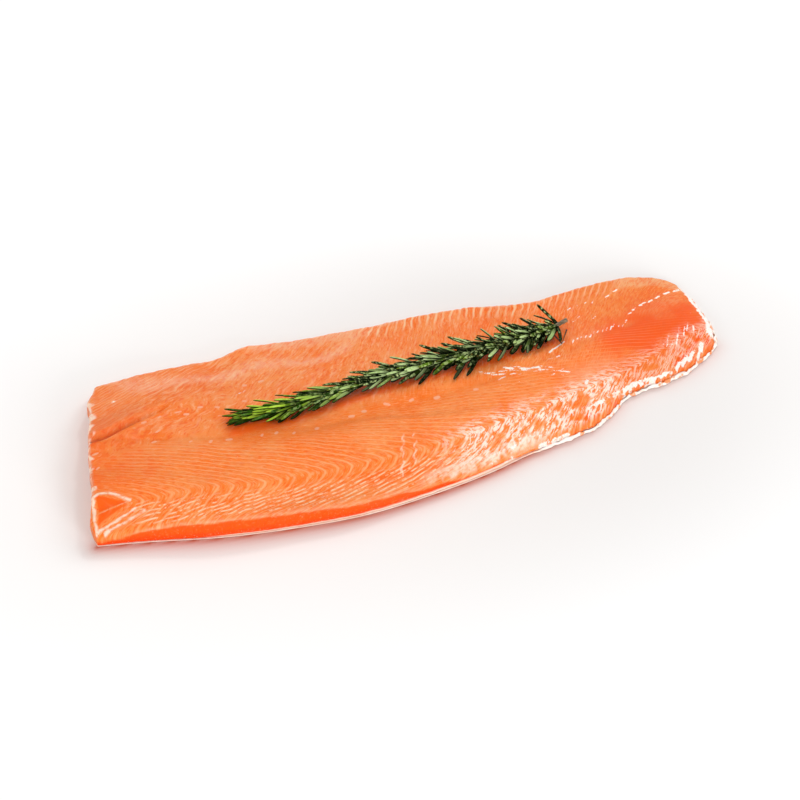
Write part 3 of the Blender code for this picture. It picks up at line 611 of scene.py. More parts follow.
def paint_crest(p):
    """Whitish places: the top of the back edge, partly painted glare, the torn head edge, the pocket's lip
    and painted glints along wrinkles.
    """
    above_wall = p.z - smooth_line(WALL_TOP_MM, p.x)
    mild = 0.32 * np.exp(-((above_wall - 1.0) / 1.1) ** 2) * window(p.x, -222.0, -195.0, -40.0, 0.0)
    # Painted glare: a broken white band along the top of the back edge.
    strong = window(p.edge, 1.0, 3.0, 6.5, 10.0) * window(p.x, -24.0, 4.0, 62.0, 84.0)
    strong = strong * soft_step(0.25, 0.55, 0.6 * p.middling + 0.4 * p.fine)
    crest = np.maximum(mild, strong) * soft_step(0.0, 1.0, p.edge)

    width = 2.0 + 5.0 * soft_step(0.35, 0.95, lattice_noise(p.y, p.y * 0.0, 4.0, 15))
    gaps = soft_step(0.22, 0.50, lattice_noise(p.y, p.head, 3.0, 17))
    torn = 1.3 * soft_step(width, 0.5 * width, p.head) * gaps
    crest = np.maximum(crest, torn * soft_step(-44.0, -38.0, p.y))
    lip = distance_to_line(p.x, p.y, POCKET_LIP_MM) + 0.5 * (p.fine - 0.5)
    crest = np.maximum(crest, 1.3 * soft_step(1.4, 0.6, lip))
    for line in CORNER_STREAKS_MM:
        streak = distance_to_line(p.x, p.y, line) + p.fine - 0.4
        crest = np.maximum(crest, 1.2 * soft_step(1.2, 0.4, streak))
    # Painted glints along the fine wrinkles.
    for line in WRINKLES_MM:
        wavy = distance_to_line(p.x + 0.8 * np.sin(p.y * 0.9) + 1.6 * (p.middling - 0.5), p.y, line)
        crest = np.maximum(crest, 0.9 * soft_step(0.9, 0.2, wavy) * soft_step(0.15, 0.5, p.fine))
    return crest


def wall_share(x, z, edge):
    """How much a point belongs to the deep orange wall at the back edge; in millimetres."""
    top = smooth_line(WALL_TOP_MM, x)
    uneven = 0.9 * (lattice_noise(x, z, 5.0, 16) - 0.5)
    return soft_step(top + 0.7, top - 0.7, z + uneven) * soft_step(9.0, 6.0, edge)


def paint_flesh(x, y, z):
    """The painted fields of the flesh's top at points in metres, and its fine relief."""
    p = Plan(x, y, z)
    lines, shine, rim = paint_back_lines(p)
    belly = paint_belly_lines(p)
    fat, deep, pale, pink = paint_fat(p), paint_deep(p), paint_pale(p), paint_pink(p)
    # Painted shade: a dark line along the cleft and a brownish shade on the flap beside it; further on, the
    # flap is only a little duller.
    cleft_shade = np.exp(-((p.cleft + 0.3) / 0.8) ** 2) * soft_step(-175.0, -205.0, p.x)
    dull = 0.42 * window(p.cleft, 0.0, 3.0, 12.0, 28.0) * soft_step(-160.0, -196.0, p.x)
    dull = np.maximum(dull, 0.12 * soft_step(0.0, 8.0, p.cleft) * soft_step(-90.0, -150.0, p.x))

    strokes = ridge(p.back_phase, 0.34) - 0.4
    relief = -0.14 * ridge(p.back_phase, 0.28) * lines * (1.0 - shine) + 0.34 * shine * strokes
    relief = relief - 0.18 * ridge(p.belly_phase, 0.30) * belly
    relief = relief + 0.20 * rim * (ridge(p.rim_phase, 0.45) - 0.5)
    relief = relief + 0.28 * np.maximum(fat - 0.2, 0.0) + 0.16 * (p.fine - 0.5) + 0.24 * (p.patchy - 0.5)
    crest = paint_crest(p)
    raised = soft_step(0.3, 0.9, crest) * soft_step(-190.0, -200.0, p.x)
    relief = relief - 0.35 * spots(p.x, p.y, BARE_MM) + 0.25 * raised
    fields = {"back_phase": p.back_phase, "back_line": lines, "shine": shine, "rim_phase": p.rim_phase,
              "rim": rim, "belly_phase": p.belly_phase, "belly_line": belly, "fat": fat, "deep": deep,
              "pale": pale, "pink": pink, "crest": crest, "wall": wall_share(p.x, p.z, p.edge),
              "dull": np.maximum(dull, cleft_shade), "cut": np.zeros_like(x),
              "cut_phase": np.zeros_like(x)}
    return fields, relief * MM


def head_edge_x(x, y):
    """The head end's x beside each plan point."""
    low = back_side_y(x)
    across = np.clip((y - low) / (belly_y(x) - low), 0.0, 1.0)
    return smooth_line(HEAD_END, across)


def unit_rows(vectors):
    """The vectors of an array at length 1."""
    return vectors / np.maximum(np.linalg.norm(vectors, axis=-1, keepdims=True), 1e-12)


def border(rows, columns):
    """Places (row, column) round the edge of a grid, clockwise seen from above."""
    loop = [(0, j) for j in range(columns)]
    loop += [(i, columns - 1) for i in range(1, rows)]
    loop += [(rows - 1, j) for j in range(columns - 2, -1, -1)]
    loop += [(i, 0) for i in range(rows - 2, 0, -1)]
    return np.array(loop)


def outward(loop_points):
    """Unit vectors pointing out of a clockwise loop of plan points."""
    run = np.roll(loop_points, -2, axis=0) - np.roll(loop_points, 2, axis=0)
    return unit_rows(np.column_stack((-run[:, 1], run[:, 0])))


def new_object(name, points, faces, finish, fields=None):
    """A smooth mesh piece from arrays, with its fields as point attributes."""
    mesh = bpy.data.meshes.new(name)
    mesh.from_pydata(points, [], faces)
    mesh.update()
    mesh.shade_smooth()
    mesh.materials.append(finish)
    for field, values in (fields or {}).items():
        layer = mesh.attributes.new(field, "FLOAT", "POINT")
        layer.data.foreach_set("value", np.asarray(values, dtype=np.float32).ravel())
    thing = bpy.data.objects.new(name, mesh)
    bpy.context.collection.objects.link(thing)
    return thing


def grid_faces(rows, columns):
    """Faces of a grid whose rows run along +X and columns along +Y, facing up."""
    i, j = np.meshgrid(np.arange(rows - 1), np.arange(columns - 1), indexing="ij")
    first = (i * columns + j).ravel()
    return np.column_stack((first, first + columns, first + columns + 1, first + 1))


def ring_faces(upper, lower):
    """Faces between two rings of vertex numbers, the upper one first."""
    return np.column_stack((upper, np.roll(upper, -1), np.roll(lower, -1), lower))


def make_flesh():
    """The flesh: its finely modelled top, the upright faces round it and a flat underside."""
    along = shares(STEPS_ALONG, HEAD_RIM_LENGTH, TAIL_RIM_LENGTH, END_RIM_STEPS)
    across = shares(STEPS_ACROSS, BACK_WALL_WIDTH, BELLY_RIM_WIDTH, RIM_STEPS)
    x, y, z = flesh_point(along[:, None], across[None, :])
    rows, columns = x.shape
    fields, relief = paint_flesh(x, y, z)
    points = np.stack((x, y, z), axis=-1)
    normal = unit_rows(np.cross(np.gradient(points, axis=0), np.gradient(points, axis=1)))
    edge_share = np.minimum(1.0, 12 * np.minimum(along, 1 - along)[:, None] / HEAD_RIM_LENGTH)
    points = points + normal * (relief * edge_share)[..., None]

    loop = border(rows, columns)
    top_ring = loop[:, 0] * columns + loop[:, 1]
    head, tail = loop[:, 0] == 0, loop[:, 0] == rows - 1
    plain_back = (loop[:, 1] == 0) & ~head & ~tail
    top = points.reshape(-1, 3)[top_ring]
    fields["cut_phase"].reshape(-1)[top_ring] = cut_lines(top[:, 1], top[:, 2])
    parts = {name: [values.ravel()] for name, values in fields.items()}
    vertices = [points.reshape(-1, 3)]
    faces = [grid_faces(rows, columns)]
    ring_of_top = {name: values[0][top_ring] for name, values in parts.items()}
    above, count = top_ring, len(top_ring)
    for row in range(1, WALL_ROWS + 1):
        ring = wall_ring(top, 1.0 - row / WALL_ROWS)
        here = sum(len(block) for block in vertices) + np.arange(count)
        vertices.append(ring)
        faces.append(ring_faces(above, here))
        above = here
        painted = {"wall": wall_share(ring[:, 0] / MM, ring[:, 2] / MM, np.zeros(count)) * plain_back,
                   "fat": ring_of_top["fat"] * (plain_back | tail),
                   "pale": ring_of_top["pale"] * (~plain_back & ~head),
                   "crest": ring_of_top["crest"] * (plain_back & (ring[:, 0] < CORNER_END_X)),
                   "cut": head * 1.0, "cut_phase": cut_lines(ring[:, 1], ring[:, 2])}
        for name, values in parts.items():
            plain = ring_of_top[name] if name.endswith("phase") else np.zeros(count)
            values.append(painted.get(name, plain))
    vertices.append(np.array([[0.0, 0.0, SKIN_THICKNESS + SKIN_GAP]]))
    hub = sum(len(block) for block in vertices) - 1
    fan = [(above[k], above[(k + 1) % count], hub) for k in range(count)]
    fields = {name: np.concatenate(values + [[0.0]]) for name, values in parts.items()}
    piece = new_object("salmon_flesh", np.concatenate(vertices).tolist(),
                       np.concatenate(faces).tolist() + fan, flesh_material(), fields)
    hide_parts("flesh")
    return piece


def wall_ring(top, height):
    """The points below the ring round the flesh's top, at a share of its height, with a lumpy bulge."""
    base = SKIN_THICKNESS + SKIN_GAP
    ring = top.copy()
    ring[:, 2] = base + (top[:, 2] - base) * height
    lumps = lattice_noise(np.arange(len(top)) * 0.4, ring[:, 2] / MM, 3.0, 12) - 0.5
    bulge = (WALL_BULGE + WALL_LUMPS * lumps) * 4 * height * (1 - height)
    ring[:, :2] += outward(top[:, :2]) * bulge[:, None]
    return ring


def cut_lines(y, z):
    """Phase of the curved muscle lines on the cut at the head end."""
    my, mz = y / MM, z / MM
    rings = np.hypot((my + 32.0) * 0.55, mz + 4.0) / 3.6
    belly = (my * 0.35 - mz * 0.9) / 3.0
    return np.where(my < 12.0, rings, belly)


def make_skin():
    """Skin: a thin sheet under the flesh, with a torn white membrane that curls up round the tail."""
    along = np.linspace(0.0, 1.0, SKIN_STEPS_ALONG)
    across = np.linspace(0.0, 1.0, SKIN_STEPS_ACROSS)
    x, y = plan_point(along[:, None], across[None, :])
    loop = border(*x.shape)
    outline = np.column_stack((x[loop[:, 0], loop[:, 1]], y[loop[:, 0], loop[:, 1]]))
    inner = outward(outline)
    count = len(outline)
    vertices, rims, rings = [], [], []
    for inset, height, rim in skin_section(outline):
        rings.append(len(rings) * count + np.arange(count))
        vertices.append(np.column_stack((outline - inner * inset[:, None], height)))
        rims.append(rim)
    faces = [ring_faces(upper, lower) for upper, lower in zip(rings, rings[1:])]
    under_hub, upper_hub = len(rings) * count, len(rings) * count + 1
    points = np.concatenate(vertices + [[[0.0, 0.0, 0.0], [0.0, 0.0, SKIN_THICKNESS]]])
    fields = {"rim": np.concatenate(rims + [[0.0, 0.0]])}
    top, bottom = rings[0], rings[-1]
    fans = [(bottom[k], bottom[(k + 1) % count], under_hub) for k in range(count)]
    fans += [(top[(k + 1) % count], top[k], upper_hub) for k in range(count)]
    faces = np.concatenate(faces).tolist() + fans
    piece = new_object("salmon_skin", points.tolist(), faces, skin_material(), fields)
    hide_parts("skin")
    return piece


def skin_section(outline):
    """Rings of the skin's edge from its hidden upper side to its underside: inset, height and rim share."""
    x, y = outline[:, 0] / MM, outline[:, 1] / MM
    count = len(outline)
    steps = np.hypot(*(outline - np.roll(outline, 1, axis=0)).T)
    run = np.cumsum(steps) / MM
    fine = lattice_noise(run, np.zeros(count), 2.6, 21)
    broad = lattice_noise(run, np.zeros(count), 11.0, 22)
    tail = soft_step(222.0, 228.0, x) * soft_step(62.0, 50.0, y)
    back = soft_step(52.0, 92.0, x) * (y < 20.0) * (1.0 - tail)
    curl = (0.25 + 1.6 * broad + 0.9 * fine) * back + (1.2 + 2.6 * broad + 1.2 * fine) * tail
    curl = np.clip(curl, 0.0, 5.0) * MM
    lean = (0.2 + 0.6 * fine) * curl
    rim = np.clip(back + tail, 0.0, 1.0)
    flat_top = SKIN_THICKNESS - 0.0001
    # Each ring: inset with its share of the lean, height with its share of the curl, share of the rim.
    rings = [(0.0075, 0.00, flat_top, 0.00, 0.40), (0.0032, 0.00, flat_top, 0.00, 1.00),
             (0.0016, 0.20, flat_top, 0.15, 1.00), (0.0008, 1.00, flat_top, 0.60, 1.00),
             (0.0005, 1.15, flat_top, 1.00, 1.00), (0.000175, 1.00, flat_top, 1.04, 1.00),
             (0.0001, 0.55, flat_top, 0.60, 1.00), (0.0, 0.05, flat_top, 0.10, 1.00),
             (0.0, 0.00, 0.55 * SKIN_THICKNESS, 0.00, 0.85),
             (0.00025, 0.00, 0.12 * SKIN_THICKNESS, 0.00, 0.50), (0.0008, 0.00, 0.0, 0.00, 0.20)]
    return [(inset + leaning * lean, height + curling * curl, share * rim)
            for inset, leaning, height, curling, share in rings]


def stem_point(share):
    """The stem's axis, for a share of its length from the tip to the cut end."""
    line = np.array(STEM_LINE)
    known = np.linspace(0.0, 1.0, len(line))
    x = float(smooth_line(np.column_stack((known, line[:, 0])), share))
    y = float(smooth_line(np.column_stack((known, line[:, 1])), share))
    return Vector((x, y, float(flesh_height(x, y) + smooth_line(STEM_LIFT, share))))


def stem_frame(share):
    """The stem's axis point, and unit vectors towards the tip, to the side and up."""
    centre = stem_point(share)
    tip_way = (stem_point(max(share - 0.01, 0.0)) - stem_point(min(share + 0.01, 1.0))).normalized()
    side = Vector((0.0, 0.0, 1.0)).cross(tip_way).normalized()
    return centre, tip_way, side, tip_way.cross(side)


def keep_above_flesh(point, half_width):
    """A needle's point, lifted where the needle would run into the flesh."""
    half_height = half_width * NEEDLE_ROLL_ROOM + NEEDLE_THICKNESS / 2.0
    lowest = float(flesh_height(point.x, point.y)) + half_height + NEEDLE_CLEARANCE
    return Vector((point.x, point.y, max(point.z, lowest)))


def tube(rings, start, end):
    """Points and faces of a closed body along rings of points, with a pointed start and end."""
    count = len(rings[0])
    points = [point for ring in rings for point in ring] + [start, end]
    first, last = len(points) - 2, len(points) - 1
    faces = []
    for row in range(len(rings) - 1):
        upper, lower = row * count, (row + 1) * count
        for k in range(count):
            after = (k + 1) % count
            faces.append((upper + k, upper + after, lower + after, lower + k))
    bottom = (len(rings) - 1) * count
    for k in range(count):
        after = (k + 1) % count
        faces.append((first, after, k))
        faces.append((bottom + k, bottom + after, last))
    return points, faces


def blade_width(t):
    """Share of a needle's full width at a share of its length."""
    base = 0.55 + 0.45 * float(soft_step(0.0, 0.22, t))
    tip = math.sqrt(max(1.0 - max((t - 0.72) / 0.28, 0.0) ** 2.2, 0.0))
    return base * tip


def grown_needle(draw, place, turn, spread, longer, wider):
    """A needle at a place on the stem, whose length and width vary within the given ranges."""
    return {"place": place, "turn": turn, "spread": spread,
            "length": float(smooth_line(NEEDLE_LENGTH, place)) * draw.uniform(*longer),
            "half_width": float(smooth_line(NEEDLE_WIDTH, place)) / 2.0 * draw.uniform(*wider),
            "bend": draw.uniform(-NEEDLE_BEND, NEEDLE_BEND) - NEEDLE_CURVE * math.sin(spread),
            "roll": draw.uniform(-NEEDLE_ROLL, NEEDLE_ROLL)}


def needle_draws():
    """Every large needle: its place on the stem, its turn round it, and how it grows, as in the solid."""
    draw = random.Random(ROSEMARY_SEED)
    for k in range(NEEDLE_COUNT):
        place = NEEDLE_END * (k + draw.uniform(-0.45, 0.45)) / (NEEDLE_COUNT - 1)
        place = min(max(place, 0.0), NEEDLE_END)
        spread = math.radians(float(smooth_line(NEEDLE_SPREAD, place)) * draw.uniform(0.7, 1.15))
        turn = k * NEEDLE_TURN + draw.uniform(-0.35, 0.35)
        yield grown_needle(draw, place, turn, spread, (0.84, 1.12), (0.85, 1.1))


def small_needle_draws():
    """Small needles between the large ones, closer to the stem."""
    draw = random.Random(ROSEMARY_SEED + 1)
    for k in range(SMALL_NEEDLE_COUNT):
        place = NEEDLE_END * (k + draw.uniform(0.0, 1.0)) / SMALL_NEEDLE_COUNT
        opening = draw.uniform(0.05, 0.50) if k % 2 else draw.uniform(0.45, 0.95)
        spread = math.radians(float(smooth_line(NEEDLE_SPREAD, place)) * opening)
        turn = draw.uniform(-0.3, math.pi + 0.3) if k % 4 else k * NEEDLE_TURN
        yield grown_needle(draw, place, turn, spread, (0.75, 1.05), (1.05, 1.35))


def needle_shape(needle):
    """The middle line, half width and facing of a needle that leaves the stem and curves along it."""
    centre, tip_way, side, up = stem_frame(needle["place"])
    rise = math.sin(needle["turn"])
    away = math.cos(needle["turn"]) * side + rise * (NEEDLE_RISE if rise > 0.0 else NEEDLE_SINK) * up
    opening = NEEDLE_OPENING * needle["spread"]
    heading = math.cos(opening) * tip_way + math.sin(opening) * away
    half_width = needle["half_width"]

    def middle(t):
        point = centre + needle["length"] * t * (heading + needle["bend"] * t * away)
        return keep_above_flesh(point, half_width)

    return middle, half_width, up + 0.7 * away + needle["roll"] * side


def long_needle_shape(share, reach):
    """The middle line, half width and facing of a straight needle placed singly."""
    base = stem_point(share)
    half_width = float(smooth_line(NEEDLE_WIDTH, share)) / 2.0

    def middle(t):
        return keep_above_flesh(base + t * Vector(reach), half_width)

    return middle, half_width, Vector((0.0, 0.0, 1.0))


def blade(middle, half_width, face):
    """Points and faces of a narrow pointed blade along a middle line, with its flat side facing a way."""
    rings = []
    for t in BLADE_STATIONS:
        point = middle(t)
        ahead = (middle(t + 0.05) - middle(t - 0.02)).normalized()
        side = ahead.cross(face).normalized()
        up = side.cross(ahead)
        width = half_width * blade_width(t)
        height = NEEDLE_THICKNESS / 2.0 * (0.4 + 0.6 * blade_width(t))
        rings.append([point + s * width * side + u * height * up for s, u in BLADE_SECTION])
    start = middle(0.0) - 0.0004 * (middle(0.1) - middle(0.0)).normalized()
    return tube(rings, start, middle(1.0))


def make_needles():
    """All needles as one piece, with the fields that their colours follow."""
    shapes = [needle_shape(needle) for needle in needle_draws()]
    shapes += [long_needle_shape(share, reach) for share, *reach in LONG_NEEDLES]
    shapes += [needle_shape(needle) for needle in small_needle_draws()]
    draw = random.Random(ROSEMARY_SEED + 2)
    section_under = [1.0 if u < -0.3 else 0.0 for _, u in BLADE_SECTION]
    section_edge = [s * s for s, _ in BLADE_SECTION]
    points, faces = [], []
    fields = {"shade": [], "along": [], "under": [], "edge": []}
    for shape in shapes:
        new_points, new_faces = blade(*shape)
        first = len(points)
        points += new_points
        faces += [tuple(first + k for k in face) for face in new_faces]
        fields["shade"] += [draw.random()] * len(new_points)
        for t in BLADE_STATIONS:
            fields["along"] += [t] * len(BLADE_SECTION)
            fields["under"] += section_under
            fields["edge"] += section_edge
        fields["along"] += [0.0, 1.0]
        fields["under"] += [0.0, 0.0]
        fields["edge"] += [0.0, 0.5]
    x, y, z = np.array([tuple(point) for point in points]).T
    fields["lift"] = (z - flesh_height(x, y)) / MM
    piece = new_object("rosemary_needles", [tuple(p) for p in points], faces, needle_material(), fields)
    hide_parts("rosemary_sprig")
    return piece


def make_stem():
    """The woody stem, with swollen joints where the needles leave it and a cut end."""
    rings = []
    for step in range(STEM_STEPS + 1):
        share = step / STEM_STEPS
        centre, _, side, up = stem_frame(share)
        radius = STEM_RADIUS_TIP + (STEM_RADIUS_CUT - STEM_RADIUS_TIP) * share
        radius *= 1.0 + 0.12 * math.sin(share * STEM_JOINTS * 2 * math.pi)
        ring = []
        for k in range(STEM_SIDES):
            angle = 2.0 * math.pi * k / STEM_SIDES
            bark = 1.0 + 0.07 * math.cos(4 * angle) + 0.05 * math.sin(7 * angle + 30 * share)
            ring.append(centre + radius * bark * (math.cos(angle) * side + math.sin(angle) * up))
        rings.append(ring)
    centre, tip_way, _, _ = stem_frame(0.0)
    cut_centre, cut_way, _, _ = stem_frame(1.0)
    points, faces = tube(rings, centre + 0.0012 * tip_way, cut_centre - 0.0003 * cut_way)
    wood = [step / STEM_STEPS for step in range(STEM_STEPS + 1) for _ in range(STEM_SIDES)] + [0.0, 1.0]
    piece = new_object("rosemary_stem", [tuple(p) for p in points], faces, stem_material(), {"wood": wood})
    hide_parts("rosemary_sprig")
    return piece


def make_twig():
    """The bent dry twig near the stem's cut end."""
    line = [Vector((x, y, float(flesh_height(x, y)) + lift)) for x, y, lift in BENT_TWIG]
    rings = []
    for k, point in enumerate(line):
        ahead = (line[min(k + 1, len(line) - 1)] - line[max(k - 1, 0)]).normalized()
        side = ahead.cross(Vector((0.0, 0.0, 1.0))).normalized()
        up = side.cross(ahead)
        angles = [2.0 * math.pi * corner / TWIG_SIDES for corner in range(TWIG_SIDES)]
        rings.append([point + TWIG_RADIUS * (math.cos(a) * side + math.sin(a) * up) for a in angles])
    first_run, last_run = (line[1] - line[0]).normalized(), (line[-1] - line[-2]).normalized()
    points, faces = tube(rings, line[0] - 0.0004 * first_run, line[-1] + 0.0004 * last_run)
    piece = new_object("rosemary_twig", [tuple(p) for p in points], faces, twig_material())
    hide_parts("rosemary_sprig")
    return piece


def linear(*levels):
    """A colour given as red, green and blue from 0 to 255 on a screen, as the shader wants it."""
    shares_of_full = [level / 255 for level in levels]
    parts = [c / 12.92 if c <= 0.04045 else ((c + 0.055) / 1.055) ** 2.4 for c in shares_of_full]
    return (*parts, 1.0)


class Nodes:
    """Short names for making a material's nodes."""

    def __init__(self, name):
        self.material = bpy.data.materials.new(name)
        self.material.use_nodes = True
        self.tree = self.material.node_tree
        self.shader = self.tree.nodes["Principled BSDF"]
        self.place = self.new("ShaderNodeTexCoord").outputs["Object"]

    def new(self, kind, **settings):
        node = self.tree.nodes.new(kind)
        for name, value in settings.items():
            setattr(node, name, value)
        return node

    def put(self, socket, value):
        if isinstance(value, bpy.types.NodeSocket):
            self.tree.links.new(value, socket)
        else:
            socket.default_value = value

    def attribute(self, name):
        return self.new("ShaderNodeAttribute", attribute_name=name).outputs["Fac"]

    def attributes(self, *names):
        return [self.attribute(name) for name in names]

    def math(self, operation, first, second=0.0, clamp=False):
        node = self.new("ShaderNodeMath", operation=operation, use_clamp=clamp)
        self.put(node.inputs[0], first)
        self.put(node.inputs[1], second)
        return node.outputs[0]

    def times(self, first, second, clamp=False):
        return self.math("MULTIPLY", first, second, clamp)

    def span(self, value, low, high, to_low=0.0, to_high=1.0):
        """Smoothly maps a value from one range to another."""
        node = self.new("ShaderNodeMapRange", interpolation_type="SMOOTHSTEP")
        self.put(node.inputs["Value"], value)
        for name, number in zip(("From Min", "From Max", "To Min", "To Max"), (low, high, to_low, to_high)):
            self.put(node.inputs[name], number)
        return node.outputs["Result"]

    def noise(self, scale, detail=2.0, roughness=0.5, vector=None):
        node = self.new("ShaderNodeTexNoise")
        self.put(node.inputs["Vector"], self.place if vector is None else vector)
        for name, number in (("Scale", scale), ("Detail", detail), ("Roughness", roughness)):
            node.inputs[name].default_value = number
        return node.outputs["Fac"]

    def stretch(self, scale):
        node = self.new("ShaderNodeMapping")
        self.put(node.inputs["Vector"], self.place)
        node.inputs["Scale"].default_value = scale
        return node.outputs["Vector"]

    def split(self):
        """The x, y and z of the place."""
        node = self.new("ShaderNodeSeparateXYZ")
        self.put(node.inputs[0], self.place)
        return node.outputs

    def streaks(self, phase, per_line, per_metre, detail=3.0, roughness=0.6):
        """Noise drawn out along the lines of a phase."""
        x, y, _ = self.split()
        node = self.new("ShaderNodeCombineXYZ")
        for socket, value, number in zip(node.inputs, (phase, x, y), (per_line, per_metre, per_metre)):
            self.put(socket, self.times(value, number))
        return self.noise(1.0, detail, roughness, node.outputs[0])

    def mix(self, factor, first, second, blend="MIX"):
        node = self.new("ShaderNodeMix", data_type="RGBA", blend_type=blend)
        self.put(node.inputs["Factor"], factor)
        self.put(node.inputs[6], first)
        self.put(node.inputs[7], second)
        return node.outputs[2]

    def line(self, phase, half_width):
        """1 on the lines of a phase, 0 beyond their half width."""
        return self.span(self.math("PINGPONG", phase, 0.5), 0.0, half_width, 1.0, 0.0)

    def bump(self, height, distance):
        node = self.new("ShaderNodeBump")
        node.inputs["Strength"].default_value = 1.0
        node.inputs["Distance"].default_value = distance
        self.put(node.inputs["Height"], height)
        return node.outputs["Normal"]

    def finish(self, colour, roughness, normal, **constants):
        """Fill in the shader and return the material."""
        self.put(self.shader.inputs["Base Color"], colour)
        self.put(self.shader.inputs["Roughness"], roughness)
        if normal is not None:
            self.put(self.shader.inputs["Normal"], normal)
            self.put(self.shader.inputs["Coat Normal"], normal)
        for name, value in constants.items():
            self.shader.inputs[name.replace("_", " ")].default_value = value
        return self.material


# Colours of the flesh.
FLESH = linear(249, 118, 30)
FLESH_PALE = linear(250, 141, 66)
FLESH_STREAK = linear(252, 160, 102)
FLESH_DEEP = linear(251, 94, 2)
TAIL_TINT = (0.90, 0.81, 0.56, 1.0)
MARK_LIGHT = linear(255, 180, 126)
MARK_DARK = linear(244, 88, 8)
LINE_COLOUR = linear(255, 172, 116)
BELLY_LINE_COLOUR = linear(254, 198, 152)
RIM_STROKE_COLOUR = linear(255, 210, 172)
WALL_COLOUR = linear(249, 88, 5)
WALL_LOW = linear(246, 70, 0)
WALL_SPECK = linear(255, 178, 122)
CUT_COLOUR = linear(232, 124, 70)
PINK_PALE = linear(248, 184, 148)
PINK_DOT = linear(250, 180, 146)
# Duller flap colour, also used for painted shade beside the cleft.
DULL_AND_SHADE_COLOUR = linear(214, 108, 62)
# The crest's pale colour, partly painted glare, and the colour of painted glare strokes and glints.
CREST_AND_GLARE_COLOUR = linear(255, 216, 192)
GLARE_COLOUR = linear(255, 232, 216)
FAT_COLOUR = linear(255, 247, 242)
FAT_WARM = linear(255, 222, 200)
# Colours of the skin, its pale cut edge and the membrane round the tail.
SILVER = linear(214, 216, 214)
SILVER_BACK = linear(74, 84, 90)
SILVER_BRIGHT = linear(236, 232, 226)
SCALE_EDGE = linear(92, 98, 104)
SKIN_SPOT = linear(30, 34, 36)
SKIN_LINE = linear(254, 228, 214)
MEMBRANE = linear(252, 244, 236)
MEMBRANE_WARM = linear(250, 214, 196)
MEMBRANE_ORANGE = linear(248, 150, 92)
# Colours of the sprig: needles with painted highlight spots, young needles at its tip, painted shade at the
# needles' sides and deep in the bunch, and wood.
NEEDLE_DARK = linear(8, 28, 0)
NEEDLE_LIGHT = linear(132, 172, 48)
NEEDLE_HIGHLIGHT_SPOTS = linear(216, 238, 160)
NEEDLE_DRY = linear(150, 130, 60)
NEEDLE_GREY = linear(204, 224, 164)
NEEDLE_GREY_DARK = linear(146, 178, 100)
YOUNG_NEEDLE_DARK = linear(46, 96, 0)
YOUNG_NEEDLE_LIGHT = linear(184, 222, 58)
SHADE_AT_SIDES = linear(5, 14, 0)
SHADE_AT_BASE = linear(5, 12, 0)
SHADE_LOW_DOWN = linear(5, 13, 0)
YOUNG_STEM_DARK = linear(52, 66, 30)
YOUNG_STEM_LIGHT = linear(92, 104, 56)
BARK_DARK = linear(92, 76, 56)
BARK_LIGHT = linear(160, 146, 122)
TWIG_DARK = linear(58, 34, 22)
TWIG_LIGHT = linear(108, 72, 48)
# Colours of the floor: painted shade near the side at its head and tail end, the plain floor far off, and
# painted warm shade close to the back edge.
FLOOR_SHADE_HEAD = (0.93, 0.895, 0.875, 1.0)
FLOOR_SHADE_TAIL = (0.80, 0.775, 0.76, 1.0)
FLOOR_FAR = (0.98, 0.98, 0.98, 1.0)
FLOOR_WARM_SHADE = (0.55, 0.08, 0.02, 1.0)


